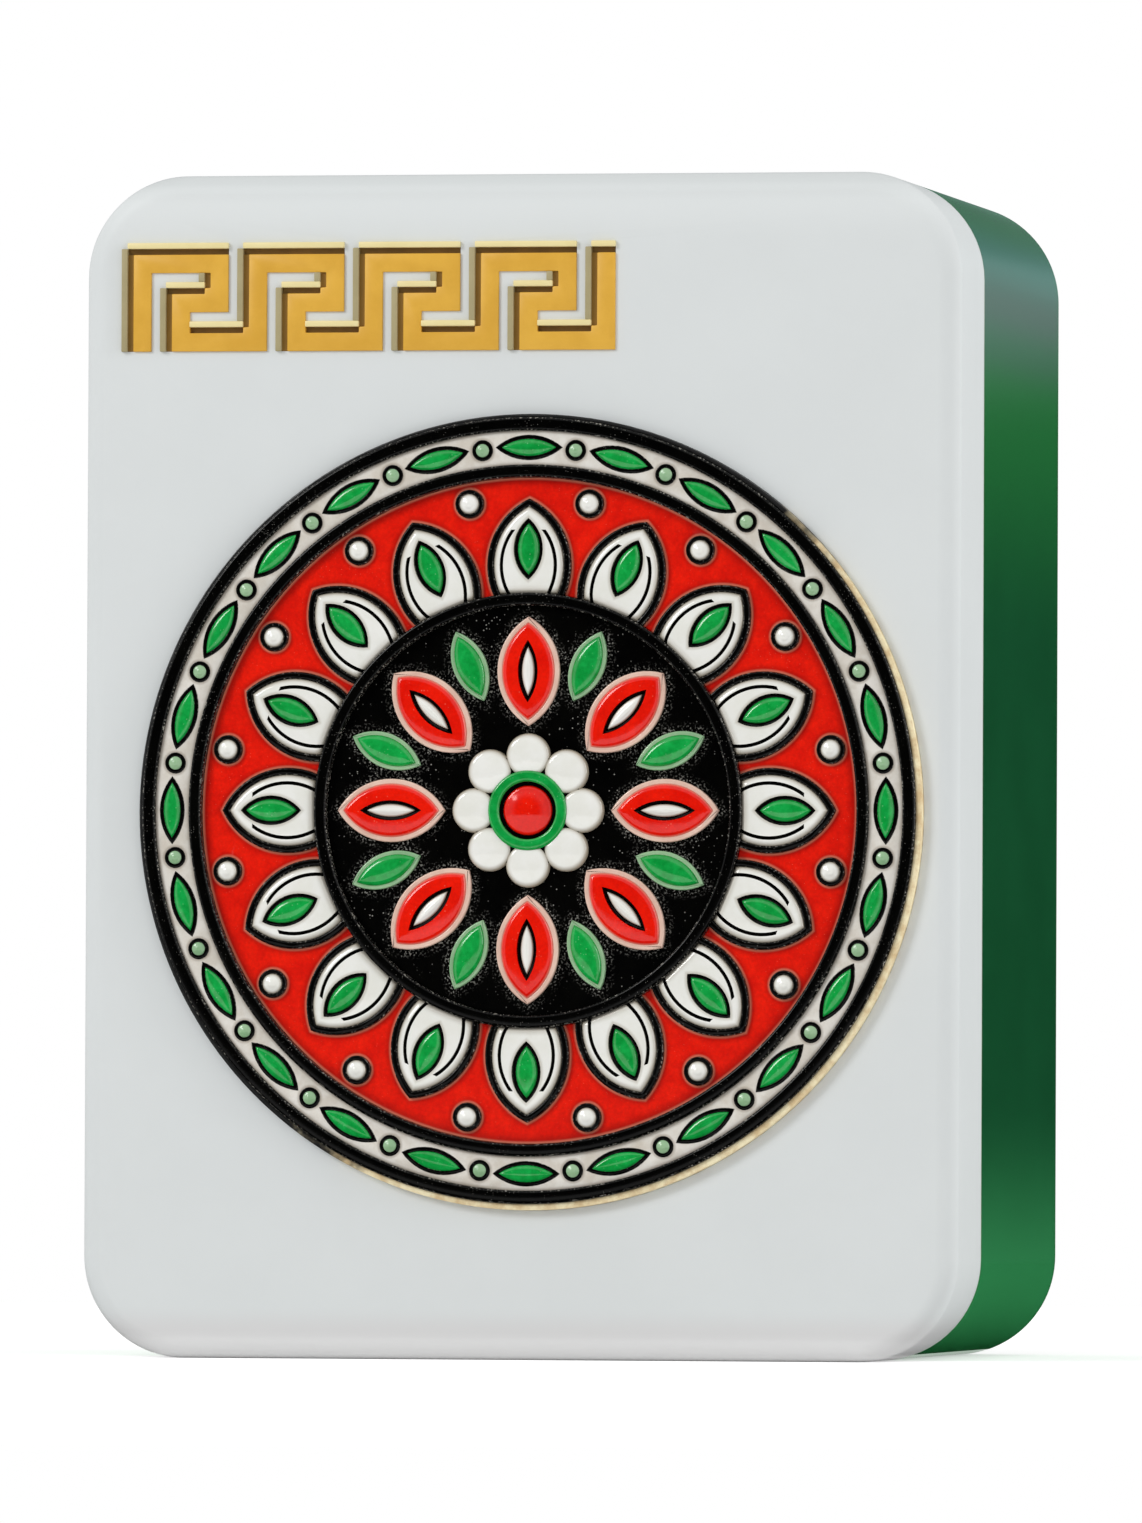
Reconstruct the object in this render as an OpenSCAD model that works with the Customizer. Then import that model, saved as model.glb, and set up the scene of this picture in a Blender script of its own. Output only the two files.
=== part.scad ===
// A mahjong tile: a white face slab bonded to a green back, with an enamelled medallion
// seated in the face and a gold key fret inlaid above it.
// The tile stands on its bottom edge, and its face looks along -Y.

/* [Tile body] */
// Width of the tile across its face
tile_w = 30; // [29:0.5:40]
// Height of the tile, standing on its bottom edge
tile_h = 40; // [39:0.5:54]
// Depth of the white face slab
face_d = 5.2; // [3:0.1:8]
// Depth of the green back slab
back_d = 17.2; // [8:0.2:24]
// Thickness of the glue line between the face and the back
film_t = 0.1; // [0.05:0.01:0.3]
// Radius of the four corners, seen from the front
corner_r = 3.45; // [2:0.05:5]
// Radius that rounds the edge of the face
front_edge_r = 0.7; // [0.2:0.1:1]
// Radius that rounds the edge of the back
back_edge_r = 1.2; // [0.3:0.1:2]

/* [Medallion seat] */
// Diameter of the enamelled medallion
medallion_d = 26.5; // [24:0.5:27]
// Distance of the medallion's centre below the middle of the face
medallion_drop = 1.5; // [0:0.05:3]
// Distance of the medallion's centre to the right of the middle of the face
medallion_shift = 0.4; // [0:0.05:0.6]
// Mean width of the bare lip that the casting leaves around the enamel
lip_w = 0.12; // [0.08:0.01:0.2]
// Distance that the casting lies off the enamel's centre, to the right and as far down
casting_shift = 0.05; // [0:0.01:0.05]
// Height of the medallion's rim above the face
rim_proud = 0.5; // [0.4:0.05:1]
// Depth of the round seat cut in the face
seat_depth = 1; // [0.8:0.05:2]
// Gap around the casting in its seat
seat_gap = 0.05; // [0.02:0.01:0.1]
// Thickness of the glue under the casting
glue_t = 0.08; // [0.04:0.01:0.2]
// Depth of the casting's dish below the face
dish_depth = 0.3; // [0.1:0.05:0.5]

/* [Enamel rings] */
// Width of the black rim
rim_w = 0.45; // [0.3:0.05:0.8]
// Width of the ivory band
band_w = 1.15; // [0.9:0.05:1.5]
// Width of the black ring inside the band
middle_ring_w = 0.42; // [0.2:0.02:0.8]
// Width of the red field
red_field_w = 3.9; // [3.2:0.1:4.2]
// Width of the black ring inside the red field
inner_ring_w = 0.42; // [0.2:0.02:0.8]
// Width of the black lines around the petals and pearls
line_w = 0.2; // [0.1:0.02:0.26]
// Width of the finest black lines
fine_line_w = 0.12; // [0.08:0.01:0.16]

/* [Enamel levels below the rim] */
// Drop of the bare lip
lip_drop = 0.15; // [0:0.01:0.3]
// Drop of the ivory band
band_drop = 0.16; // [0:0.01:0.3]
// Drop of the red field and of the black field inside it
field_drop = 0.34; // [0.2:0.01:0.4]
// Drop of the black lines
line_drop = 0.18; // [0.1:0.01:0.3]
// Drop of the highest point of the raised cells
cell_drop = 0.03; // [0:0.01:0.1]
// Fall from the middle of a large raised cell to its ends
cell_crown = 0.16; // [0.05:0.01:0.25]
// Fall from the middle of a pearl to its edge
pearl_crown = 0.1; // [0.05:0.01:0.12]

/* [Pattern counts] */
// Number of long beads in the ivory band, with a pearl after each
bead_count = 24; // [16:1:26]
// Number of ivory petals in the red field
petal_count = 16; // [12:1:18]
// Number of red petals in the black field
flower_count = 8; // [6:1:9]
// Number of lobes on the flower in the centre
lobe_count = 8; // [6:1:10]

/* [Red field pattern] */
// Gap between a petal's tip and the ring outside it
petal_tip_gap = 0.95; // [0.6:0.05:1.2]
// Length of a petal's root that the inner ring covers
petal_tuck = 1.1; // [0.6:0.05:1.4]
// Diameter of the pearls between the petal tips
bud_d = 0.72; // [0.5:0.02:0.8]

/* [Black field pattern] */
// Gap between a red petal's tip and the ring outside it
flower_tip_gap = 0.55; // [0.4:0.05:0.8]
// Gap between a red petal's root and the flower in the centre
flower_root_gap = 0.42; // [0.3:0.02:0.6]
// Width of the pale rim around a red petal
petal_rim_w = 0.15; // [0.1:0.01:0.2]
// Width of the pale green rim around a leaf
leaf_rim_w = 0.12; // [0.08:0.01:0.2]
// Diameter over the lobes of the centre flower
centre_d = 5.2; // [4.6:0.1:5.6]
// Diameter of the green ring in the centre
centre_ring_d = 2.7; // [2.4:0.05:2.8]
// Diameter of the red dome in the centre
dome_d = 1.7; // [1.4:0.05:1.8]

/* [Key fret] */
// Number of repeats of the fret
fret_units = 4; // [2:1:4]
// Width of the fret's bars
fret_bar = 0.82; // [0.6:0.02:0.9]
// Gap between the fret's bars
fret_gap = 0.51; // [0.45:0.01:0.6]
// Distance from the tile's side to the fret
fret_side = 1.5; // [1.4:0.05:3]
// Distance from the top of the tile to the fret
fret_top = 2.5; // [1.5:0.05:2.6]
// Depth of the fret's engraving
fret_depth = 0.3; // [0.2:0.05:0.6]
// Width of the pale edge above each bar, and of the olive edge on its left
fret_edge_w = 0.2; // [0.1:0.01:0.3]
// Width of the dark step along the top of each bar, and of the brown step along its left
fret_step_w = 0.2; // [0.1:0.01:0.25]
// Height of the gold above the face
fret_proud = 0.1; // [0.05:0.01:0.2]
// Height of the pale edge above the gold
fret_light_proud = 0.06; // [0.02:0.01:0.1]
// Depth of the dark step below the gold
fret_dark_drop = 0.2; // [0.05:0.01:0.25]
// Depth of the brown step below the gold
fret_brown_drop = 0.12; // [0.02:0.01:0.25]

/* [Hidden] */
$fn = 128;
// Facets around the wide spheres that crown the cells
ball_fn = 256;
// How far a cut runs past the surface that it leaves
cut_over = 0.5;

// Shares of the band that its beads and pearls take
bead_length_share = 0.6;
bead_width_share = 0.54;
pearl_share = 0.42;
// Shares of a petal's pitch and size
petal_width_share = 0.76;
heart_length_share = 0.6;
heart_width_share = 0.31;
vein_inset_share = 0.1;
vein_end_share = 0.72;
// Place of a bud between the petal tips and the ring outside them
bud_place_share = 0.64;
// Shares of a red petal's pitch and size
flower_width_share = 0.5;
drop_length_share = 0.5;
drop_width_share = 0.24;
leaf_length_share = 0.66;
leaf_width_share = 0.5;
// Width of a lobe against the width at which it would only touch its neighbours
lobe_width_share = 1.07;
// Reach of the lines between the lobes towards the notch that each one points at
lobe_line_share = 0.88;

// Depths through the tile
body_d = face_d + film_t + back_d;
overall_d = body_d + rim_proud;
face_y = rim_proud - overall_d / 2;
medallion_z = tile_h / 2 - medallion_drop;

// Radii of the medallion, from the outside in
enamel_r = medallion_d / 2;
casting_r = enamel_r + lip_w;
seat_r = casting_r + seat_gap;
band_r = enamel_r - rim_w;
middle_ring_r = band_r - band_w;
red_field_r = middle_ring_r - middle_ring_w;
inner_ring_r = red_field_r - red_field_w;
black_field_r = inner_ring_r - inner_ring_w;
centre_r = centre_d / 2;

// Beads and pearls of the ivory band
band_middle_r = (band_r + middle_ring_r) / 2;
bead_pitch = 2 * PI * band_middle_r / bead_count;
bead_l = bead_length_share * bead_pitch;
bead_w = bead_width_share * band_w;
pearl_d = pearl_share * band_w;

// Ivory petals, and the heart and veins that each holds
petal_tip_r = red_field_r - petal_tip_gap;
petal_root_r = inner_ring_r - petal_tuck;
petal_l = petal_tip_r - petal_root_r;
petal_r = (petal_tip_r + petal_root_r) / 2;
petal_w = petal_width_share * 2 * PI * petal_r / petal_count;
petal_show = petal_tip_r - inner_ring_r;
petal_show_r = inner_ring_r + petal_show / 2;
heart_l = heart_length_share * petal_show;
heart_w = heart_width_share * petal_w;
vein_inset = vein_inset_share * petal_w;
vein_end_r = inner_ring_r + vein_end_share * petal_show;
bud_r = petal_tip_r + bud_place_share * petal_tip_gap - bud_d / 2;

// Red petals, and the drop and leaf that go with each
flower_tip_r = black_field_r - flower_tip_gap;
flower_root_r = centre_r + flower_root_gap;
flower_l = flower_tip_r - flower_root_r;
flower_r = (flower_tip_r + flower_root_r) / 2;
flower_w = flower_width_share * 2 * PI * flower_r / flower_count;
drop_l = drop_length_share * flower_l;
drop_w = drop_width_share * flower_w;
leaf_l = leaf_length_share * flower_l;
leaf_w = leaf_width_share * flower_w;
leaf_r = flower_tip_r - leaf_l / 2;

// Lobes of the centre flower, the notches between them and the lines that point at the notches
lobe_spread = lobe_width_share * sin(180 / lobe_count);
lobe_r = centre_r * lobe_spread / (1 + lobe_spread);
lobe_place_r = centre_r - lobe_r;
half_step = lobe_place_r * sin(180 / lobe_count);
notch_r = lobe_place_r * cos(180 / lobe_count) + sqrt(lobe_r * lobe_r - half_step * half_step);
lobe_line_root_r = (centre_ring_d + fine_line_w) / 2;
lobe_line_l = lobe_line_share * (notch_r - lobe_line_root_r);

// Heights above the face
lip_h = rim_proud - lip_drop;
band_h = rim_proud - band_drop;
field_h = rim_proud - field_drop;
line_h = rim_proud - line_drop;
cell_h = rim_proud - cell_drop;
bed_h = glue_t - seat_depth;

// The key fret's pitch, size and place
fret_pitch = fret_bar + fret_gap;
fret_h = 2 * fret_pitch + fret_bar;
fret_x = fret_side - tile_w / 2;
fret_z = tile_h - fret_top - fret_h;

// Colours
white = "#d8dcdc";
green = "#1e6b38";
cream = "#ecdcb8";
glue = "#cfc8b4";
black = "#0b0b0c";
ivory = "#e1e2da";
red = "#d7260f";
leaf_green = "#17964a";
pale_green = "#a8b28e";
gold = "#deac4a";
pale_gold = "#e8d9a0";
umber = "#7d5f28";
brown = "#967330";
olive = "#aa9e78";

// Turns a drawing from lying flat to standing on the face: its y is up and its z is outwards
module on_face() {
    translate([0, face_y, 0])
        rotate([90, 0, 0])
            children();
}

// The same, about the middle of the medallion
module on_medallion() {
    translate([medallion_shift, 0, medallion_z])
        on_face()
            children();
}

// The same, about the middle of the casting and its seat
module on_casting() {
    translate([casting_shift, 0, -casting_shift])
        on_medallion()
            children();
}

// Copies of a shape around the middle, turned on by a share of one step
module around(count, turn_share = 0) {
    for (i = [0 : count - 1])
        rotate(-360 * (i + turn_share) / count)
            children();
}

// Radius of the two arcs that bound a lens of length l and width w
function lens_arc(l, w) = (l * l + w * w) / (4 * w);

// A lens along y, made of two arcs, grown evenly by grow
module lens(l, w, grow = 0) {
    arc_r = lens_arc(l, w);
    intersection() {
        translate([arc_r - w / 2, 0])
            circle(arc_r + grow);
        translate([w / 2 - arc_r, 0])
            circle(arc_r + grow);
    }
}

// A flat ring
module ring(outer_r, inner_r) {
    difference() {
        circle(outer_r);
        circle(inner_r);
    }
}

// Enamel that fills a drawing from the floor of the dish up to a height
module fill(top) {
    translate([0, 0, -dish_depth])
        linear_extrude(height = top + dish_depth)
            children();
}

// A fill whose top is crowned by a sphere about a point up the y axis
module crowned_fill(top, reach, crown, place = 0) {
    ball_r = (reach * reach + crown * crown) / (2 * crown);
    intersection() {
        fill(top)
            children();
        translate([0, place, top - ball_r])
            rotate([90, 0, 0])
                sphere(ball_r, $fn = ball_fn);
    }
}

// A ring of enamel with a half-round top
module round_ring(outer_r, inner_r, top) {
    half_w = (outer_r - inner_r) / 2;
    rotate_extrude()
        union() {
            translate([inner_r, -dish_depth])
                square([2 * half_w, top - half_w + dish_depth]);
            translate([inner_r + half_w, top - half_w])
                intersection() {
                    circle(half_w);
                    translate([-half_w, 0])
                        square([2 * half_w, half_w]);
                }
        }
}

// Section through the edge of a slab, with its outer corner rounded
module edge_section(d, edge_r) {
    difference() {
        square([corner_r, d]);
        translate([corner_r - edge_r, d - edge_r])
            difference() {
                square(edge_r + cut_over);
                circle(edge_r);
            }
    }
}

// A slab with rounded corners, its outer edge rounded over and its inner face square
module slab(d, edge_r) {
    flat_w = tile_w - 2 * corner_r;
    flat_h = tile_h - 2 * corner_r;
    translate([0, tile_h / 2, 0])
        union() {
            translate([-flat_w / 2, -flat_h / 2, 0])
                cube([flat_w, flat_h, d]);
            for (quarter = [0 : 3]) {
                across = quarter % 2 == 0 ? flat_w : flat_h;
                along = quarter % 2 == 0 ? flat_h : flat_w;
                rotate(90 * quarter)
                    translate([across / 2, along / 2, 0]) {
                        rotate([90, 0, 0])
                            linear_extrude(height = along)
                                edge_section(d, edge_r);
                        rotate_extrude(angle = 90)
                            edge_section(d, edge_r);
                    }
            }
        }
}

// The front outline of the tile
module tile_outline() {
    flat_w = tile_w - 2 * corner_r;
    flat_h = tile_h - 2 * corner_r;
    translate([0, tile_h / 2])
        union() {
            square([flat_w, tile_h], center = true);
            square([tile_w, flat_h], center = true);
            for (x = [-flat_w / 2, flat_w / 2], y = [-flat_h / 2, flat_h / 2])
                translate([x, y])
                    circle(corner_r);
        }
}

// One bar of the fret, from one point of its grid to another
module fret_stroke(from, to) {
    translate([min(from[0], to[0]), min(from[1], to[1])] * fret_pitch)
        square([abs(to[0] - from[0]), abs(to[1] - from[1])] * fret_pitch + [fret_bar, fret_bar]);
}

// The key fret: one unbroken line that turns back into each repeat
module fret_line() {
    steps = [[0, 0], [0, 2], [2, 2], [2, 1], [1, 1], [1, 0], [3, 0]];
    unit_steps = len(steps) - 1;
    translate([fret_x, fret_z])
        union() {
            for (unit = [0 : fret_units - 1], i = [0 : unit_steps - 1])
                translate([unit_steps / 2 * unit * fret_pitch, 0])
                    fret_stroke(steps[i], steps[i + 1]);
            translate([unit_steps / 2 * fret_units * fret_pitch, 0])
                fret_stroke([0, 0], [0, 2]);
        }
}

// The fret moved up, or down where the distance is negative
module fret_raised(up) {
    translate([0, up])
        fret_line();
}

// The fret moved to the left, or to the right where the distance is negative
module fret_drawn(left) {
    translate([-left, 0])
        fret_line();
}

// What the engraving takes out of the face: the fret and its two edges
module fret_outline() {
    union() {
        fret_line();
        fret_raised(fret_edge_w);
        fret_drawn(fret_edge_w);
    }
}

// Fill of the fret's engraving, up to a height above the face
module fret_fill(top) {
    on_face()
        translate([0, 0, -fret_depth])
            linear_extrude(height = fret_depth + top)
                children();
}

// The long beads of the band, grown by a line's width
module beads(grow = 0) {
    around(bead_count)
        translate([0, band_middle_r])
            rotate(90)
                lens(bead_l, bead_w, grow);
}

// The pearls between the beads
module pearls(grow = 0) {
    around(bead_count, 0.5)
        translate([0, band_middle_r])
            circle(pearl_d / 2 + grow);
}

// The whole lens that one ivory petal is cut from
module petal_lens(grow = 0) {
    translate([0, petal_r])
        lens(petal_l, petal_w, grow);
}

// One ivory petal, cut off where it tucks under the inner ring
module petal(grow = 0) {
    difference() {
        petal_lens(grow);
        circle(inner_ring_r);
    }
}

// One heart
module heart(grow = 0) {
    translate([0, petal_show_r])
        lens(heart_l, heart_w, grow);
}

// The fine veins that follow the sides of one petal
module veins() {
    difference() {
        petal(-vein_inset);
        petal(-vein_inset - fine_line_w);
        translate([-petal_w, vein_end_r])
            square([2 * petal_w, petal_l]);
    }
}

// One bud between the petal tips
module bud(grow = 0) {
    translate([0, bud_r])
        circle(bud_d / 2 + grow);
}

// One red petal
module flower_petal(grow = 0) {
    translate([0, flower_r])
        lens(flower_l, flower_w, grow);
}

// One ivory drop
module ivory_drop(grow = 0) {
    translate([0, flower_r])
        lens(drop_l, drop_w, grow);
}

// One green leaf
module leaf(grow = 0) {
    translate([0, leaf_r])
        lens(leaf_l, leaf_w, grow);
}

// Outline of the flower in the centre
module centre_outline() {
    union() {
        circle(lobe_place_r);
        around(lobe_count)
            translate([0, lobe_place_r])
                circle(lobe_r);
    }
}

// The short lines between the lobes
module lobe_lines() {
    around(lobe_count, 0.5)
        translate([-fine_line_w / 2, lobe_line_root_r])
            square([fine_line_w, lobe_line_l]);
}

// White slab with the seat for the medallion and the engraving for the fret
module face_slab() {
    color(white)
        difference() {
            translate([0, face_d, 0])
                on_face()
                    slab(face_d, front_edge_r);
            on_casting()
                translate([0, 0, -seat_depth])
                    cylinder(r = seat_r, h = seat_depth + cut_over);
            fret_fill(cut_over)
                fret_outline();
        }
}

// Glue line between the two slabs
module bond_film() {
    color(pale_green)
        translate([0, face_d + film_t, 0])
            on_face()
                linear_extrude(height = film_t)
                    tile_outline();
}

// Green slab
module back_slab() {
    color(green)
        translate([0, face_y + face_d + film_t, 0])
            rotate([90, 0, 180])
                slab(back_d, back_edge_r);
}

// Cast dish that holds the enamel
module medallion_casting() {
    color(cream)
        difference() {
            on_casting()
                translate([0, 0, bed_h])
                    cylinder(r = casting_r, h = lip_h - bed_h);
            on_medallion()
                translate([0, 0, -dish_depth])
                    cylinder(r = enamel_r, h = dish_depth + lip_h + cut_over);
        }
}

// Glue under the casting
module medallion_glue() {
    color(glue)
        on_casting()
            translate([0, 0, -seat_depth])
                cylinder(r = casting_r, h = glue_t);
}

// Black rim
module outer_rim_enamel() {
    color(black)
        on_medallion()
            round_ring(enamel_r, band_r, rim_proud);
}

// Ivory band
module band_enamel() {
    color(ivory)
        on_medallion()
            fill(band_h)
                difference() {
                    ring(band_r, middle_ring_r);
                    beads(fine_line_w);
                    pearls(fine_line_w);
                }
}

// Black lines around the beads and pearls
module band_outlines() {
    color(black)
        on_medallion()
            fill(line_h)
                difference() {
                    union() {
                        beads(fine_line_w);
                        pearls(fine_line_w);
                    }
                    beads();
                    pearls();
                }
}

// Long green beads
module band_beads() {
    color(leaf_green)
        on_medallion()
            around(bead_count)
                crowned_fill(cell_h, bead_l / 2, pearl_crown, band_middle_r)
                    translate([0, band_middle_r])
                        rotate(90)
                            lens(bead_l, bead_w);
}

// Pale green pearls
module band_pearls() {
    color(pale_green)
        on_medallion()
            around(bead_count, 0.5)
                crowned_fill(cell_h, pearl_d / 2, pearl_crown, band_middle_r)
                    translate([0, band_middle_r])
                        circle(pearl_d / 2);
}

// Black ring inside the band
module middle_ring_enamel() {
    color(black)
        on_medallion()
            round_ring(middle_ring_r, red_field_r, rim_proud);
}

// Red field around the petals
module red_field_enamel() {
    color(red)
        on_medallion()
            fill(field_h)
                difference() {
                    ring(red_field_r, inner_ring_r);
                    around(petal_count)
                        petal_lens(line_w);
                    around(petal_count, 0.5)
                        bud(fine_line_w);
                }
}

// Black lines around the petals
module petal_outlines() {
    color(black)
        on_medallion()
            around(petal_count)
                fill(line_h)
                    difference() {
                        petal(line_w);
                        petal();
                    }
}

// Ivory petals around their hearts and veins
module ivory_petals() {
    color(ivory)
        on_medallion()
            around(petal_count)
                crowned_fill(cell_h, petal_show / 2, cell_crown, petal_show_r)
                    difference() {
                        petal();
                        heart(fine_line_w);
                        veins();
                    }
}

// Fine black veins in the petals
module petal_veins() {
    color(black)
        on_medallion()
            around(petal_count)
                fill(line_h)
                    veins();
}

// Black lines around the hearts
module heart_outlines() {
    color(black)
        on_medallion()
            around(petal_count)
                fill(line_h)
                    difference() {
                        heart(fine_line_w);
                        heart();
                    }
}

// Green hearts of the petals
module green_hearts() {
    color(leaf_green)
        on_medallion()
            around(petal_count)
                crowned_fill(cell_h, heart_l / 2, pearl_crown, petal_show_r)
                    heart();
}

// Black lines around the buds
module bud_outlines() {
    color(black)
        on_medallion()
            around(petal_count, 0.5)
                fill(line_h)
                    difference() {
                        bud(fine_line_w);
                        bud();
                    }
}

// Ivory buds between the petal tips
module ivory_buds() {
    color(ivory)
        on_medallion()
            around(petal_count, 0.5)
                crowned_fill(cell_h, bud_d / 2, pearl_crown, bud_r)
                    bud();
}

// Black ring inside the red field
module inner_ring_enamel() {
    color(black)
        on_medallion()
            round_ring(inner_ring_r, black_field_r, rim_proud);
}

// Black field around the inner flower
module black_field_enamel() {
    color(black)
        on_medallion()
            fill(field_h)
                difference() {
                    circle(black_field_r);
                    around(flower_count)
                        flower_petal(petal_rim_w);
                    around(flower_count, 0.5)
                        leaf(leaf_rim_w);
                    centre_outline();
                }
}

// Pale rims of the red petals
module flower_rims() {
    color(cream)
        on_medallion()
            around(flower_count)
                fill(line_h)
                    difference() {
                        flower_petal(petal_rim_w);
                        flower_petal();
                    }
}

// Red petals around their drops
module flower_petals() {
    color(red)
        on_medallion()
            around(flower_count)
                crowned_fill(cell_h, flower_l / 2, cell_crown, flower_r)
                    difference() {
                        flower_petal();
                        ivory_drop(fine_line_w);
                    }
}

// Black lines around the drops
module drop_outlines() {
    color(black)
        on_medallion()
            around(flower_count)
                fill(line_h)
                    difference() {
                        ivory_drop(fine_line_w);
                        ivory_drop();
                    }
}

// Ivory drops in the red petals
module ivory_drops() {
    color(ivory)
        on_medallion()
            around(flower_count)
                crowned_fill(cell_h, drop_l / 2, pearl_crown, flower_r)
                    ivory_drop();
}

// Pale green rims of the leaves
module leaf_rims() {
    color(pale_green)
        on_medallion()
            around(flower_count, 0.5)
                fill(line_h)
                    difference() {
                        leaf(leaf_rim_w);
                        leaf();
                    }
}

// Green leaves between the red petals
module green_leaves() {
    color(leaf_green)
        on_medallion()
            around(flower_count, 0.5)
                crowned_fill(cell_h, leaf_l / 2, pearl_crown, leaf_r)
                    leaf();
}

// Ivory flower in the centre
module centre_flower() {
    color(ivory)
        on_medallion()
            crowned_fill(cell_h, centre_r, cell_crown)
                difference() {
                    centre_outline();
                    circle(centre_ring_d / 2 + fine_line_w);
                    lobe_lines();
                }
}

// Black lines of the centre: one on each side of its ring, and one between each pair of lobes
module centre_lines() {
    color(black)
        on_medallion()
            fill(line_h) {
                ring(centre_ring_d / 2 + fine_line_w, centre_ring_d / 2);
                ring(dome_d / 2 + fine_line_w, dome_d / 2);
                lobe_lines();
            }
}

// Green ring in the centre
module centre_ring() {
    color(leaf_green)
        on_medallion()
            fill(cell_h)
                ring(centre_ring_d / 2, dome_d / 2 + fine_line_w);
}

// Red dome in the centre
module centre_dome() {
    color(red)
        on_medallion()
            crowned_fill(cell_h, dome_d / 2, cell_crown)
                circle(dome_d / 2);
}

// Gold of the fret
module fret_gold() {
    color(gold)
        fret_fill(fret_proud)
            intersection() {
                fret_line();
                fret_raised(-fret_step_w);
                fret_drawn(-fret_step_w);
            }
}

// Dark step along the top of each bar
module fret_dark_step() {
    color(umber)
        fret_fill(fret_proud - fret_dark_drop)
            difference() {
                fret_line();
                fret_raised(-fret_step_w);
            }
}

// Brown step along the left of each bar
module fret_brown_step() {
    color(brown)
        fret_fill(fret_proud - fret_brown_drop)
            difference() {
                intersection() {
                    fret_line();
                    fret_raised(-fret_step_w);
                }
                fret_drawn(-fret_step_w);
            }
}

// Pale edge above each bar
module fret_light_edge() {
    color(pale_gold)
        fret_fill(fret_proud + fret_light_proud)
            difference() {
                fret_raised(fret_edge_w);
                fret_line();
            }
}

// Olive edge on the left of each bar
module fret_olive_edge() {
    color(olive)
        fret_fill(fret_proud + fret_light_proud)
            difference() {
                fret_drawn(fret_edge_w);
                fret_line();
                fret_raised(fret_edge_w);
            }
}

face_slab();
bond_film();
back_slab();
medallion_casting();
medallion_glue();
outer_rim_enamel();
band_enamel();
band_outlines();
band_beads();
band_pearls();
middle_ring_enamel();
red_field_enamel();
petal_outlines();
ivory_petals();
petal_veins();
heart_outlines();
green_hearts();
bud_outlines();
ivory_buds();
inner_ring_enamel();
black_field_enamel();
flower_rims();
flower_petals();
drop_outlines();
ivory_drops();
leaf_rims();
green_leaves();
centre_flower();
centre_lines();
centre_ring();
centre_dome();
fret_gold();
fret_dark_step();
fret_brown_step();
fret_light_edge();
fret_olive_edge();
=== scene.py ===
"""A mahjong tile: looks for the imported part, in metres, in the part's own frame."""

from math import acos, atan2, cos, degrees, pi, radians, sin

import bmesh
import bpy
from mathutils import Matrix, Vector


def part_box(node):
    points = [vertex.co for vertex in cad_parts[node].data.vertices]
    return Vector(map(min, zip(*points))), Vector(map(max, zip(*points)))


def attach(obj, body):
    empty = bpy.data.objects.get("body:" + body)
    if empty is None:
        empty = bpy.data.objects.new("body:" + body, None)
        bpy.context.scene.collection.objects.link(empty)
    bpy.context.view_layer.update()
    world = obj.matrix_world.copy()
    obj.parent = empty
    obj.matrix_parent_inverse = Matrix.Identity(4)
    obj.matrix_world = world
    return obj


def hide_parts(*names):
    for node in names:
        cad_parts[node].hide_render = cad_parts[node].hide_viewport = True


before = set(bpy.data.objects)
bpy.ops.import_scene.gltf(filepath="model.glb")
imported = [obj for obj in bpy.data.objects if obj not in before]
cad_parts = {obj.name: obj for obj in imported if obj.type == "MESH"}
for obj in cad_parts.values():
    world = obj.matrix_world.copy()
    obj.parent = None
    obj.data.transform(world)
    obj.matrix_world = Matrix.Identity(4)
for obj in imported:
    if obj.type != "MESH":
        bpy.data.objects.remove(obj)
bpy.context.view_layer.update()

# Sizes

# Millimetres, named as in the part's source. Pieces are modelled lying flat, at one unit to the
# millimetre, with their face upwards, and are then stood up on the face of the tile.
MM = 0.001


def reach_of(node):
    """Radius of a round node about its own middle."""
    low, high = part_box(node)
    return (high.x - low.x) / 2 / MM


def height_of(node):
    """Height of a node above the face of the tile."""
    return (face_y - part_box(node)[0].y) / MM


slab_low, slab_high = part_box("face_slab")
back_low, back_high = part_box("back_slab")
rim_low, rim_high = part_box("outer_rim_enamel")
casting_low, casting_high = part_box("medallion_casting")
face_y = slab_low.y
tile_w = (slab_high.x - slab_low.x) / MM
tile_h = (slab_high.z - slab_low.z) / MM
face_d = (slab_high.y - slab_low.y) / MM
film_t = (back_low.y - slab_high.y) / MM
back_d = (back_high.y - back_low.y) / MM
corner_r = 3.45
front_edge_r = 0.7
back_edge_r = 1.2

medallion_x = (rim_low.x + rim_high.x) / 2 / MM
medallion_y = (rim_low.z + rim_high.z) / 2 / MM
casting_x = (casting_low.x + casting_high.x) / 2 / MM - medallion_x
casting_y = (casting_low.z + casting_high.z) / 2 / MM - medallion_y
seat_gap = 0.05
seat_depth = 1.0
glue_t = 0.08
dish_depth = 0.3
casting_r = reach_of("medallion_casting")
enamel_r = reach_of("outer_rim_enamel")
band_r = reach_of("band_enamel")
middle_ring_r = reach_of("middle_ring_enamel")
red_field_r = reach_of("red_field_enamel")
inner_ring_r = reach_of("inner_ring_enamel")
black_field_r = reach_of("black_field_enamel")
line_w = 0.2
fine_line_w = 0.12

# Heights above the face
rim_h = height_of("outer_rim_enamel")
lip_h = height_of("medallion_casting")
band_h = height_of("band_enamel")
line_h = height_of("petal_outlines")
cell_h = height_of("ivory_petals")

# How many of each stand round the medallion
bead_count = 24
petal_count = 16
flower_count = 8
lobe_count = 8

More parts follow.
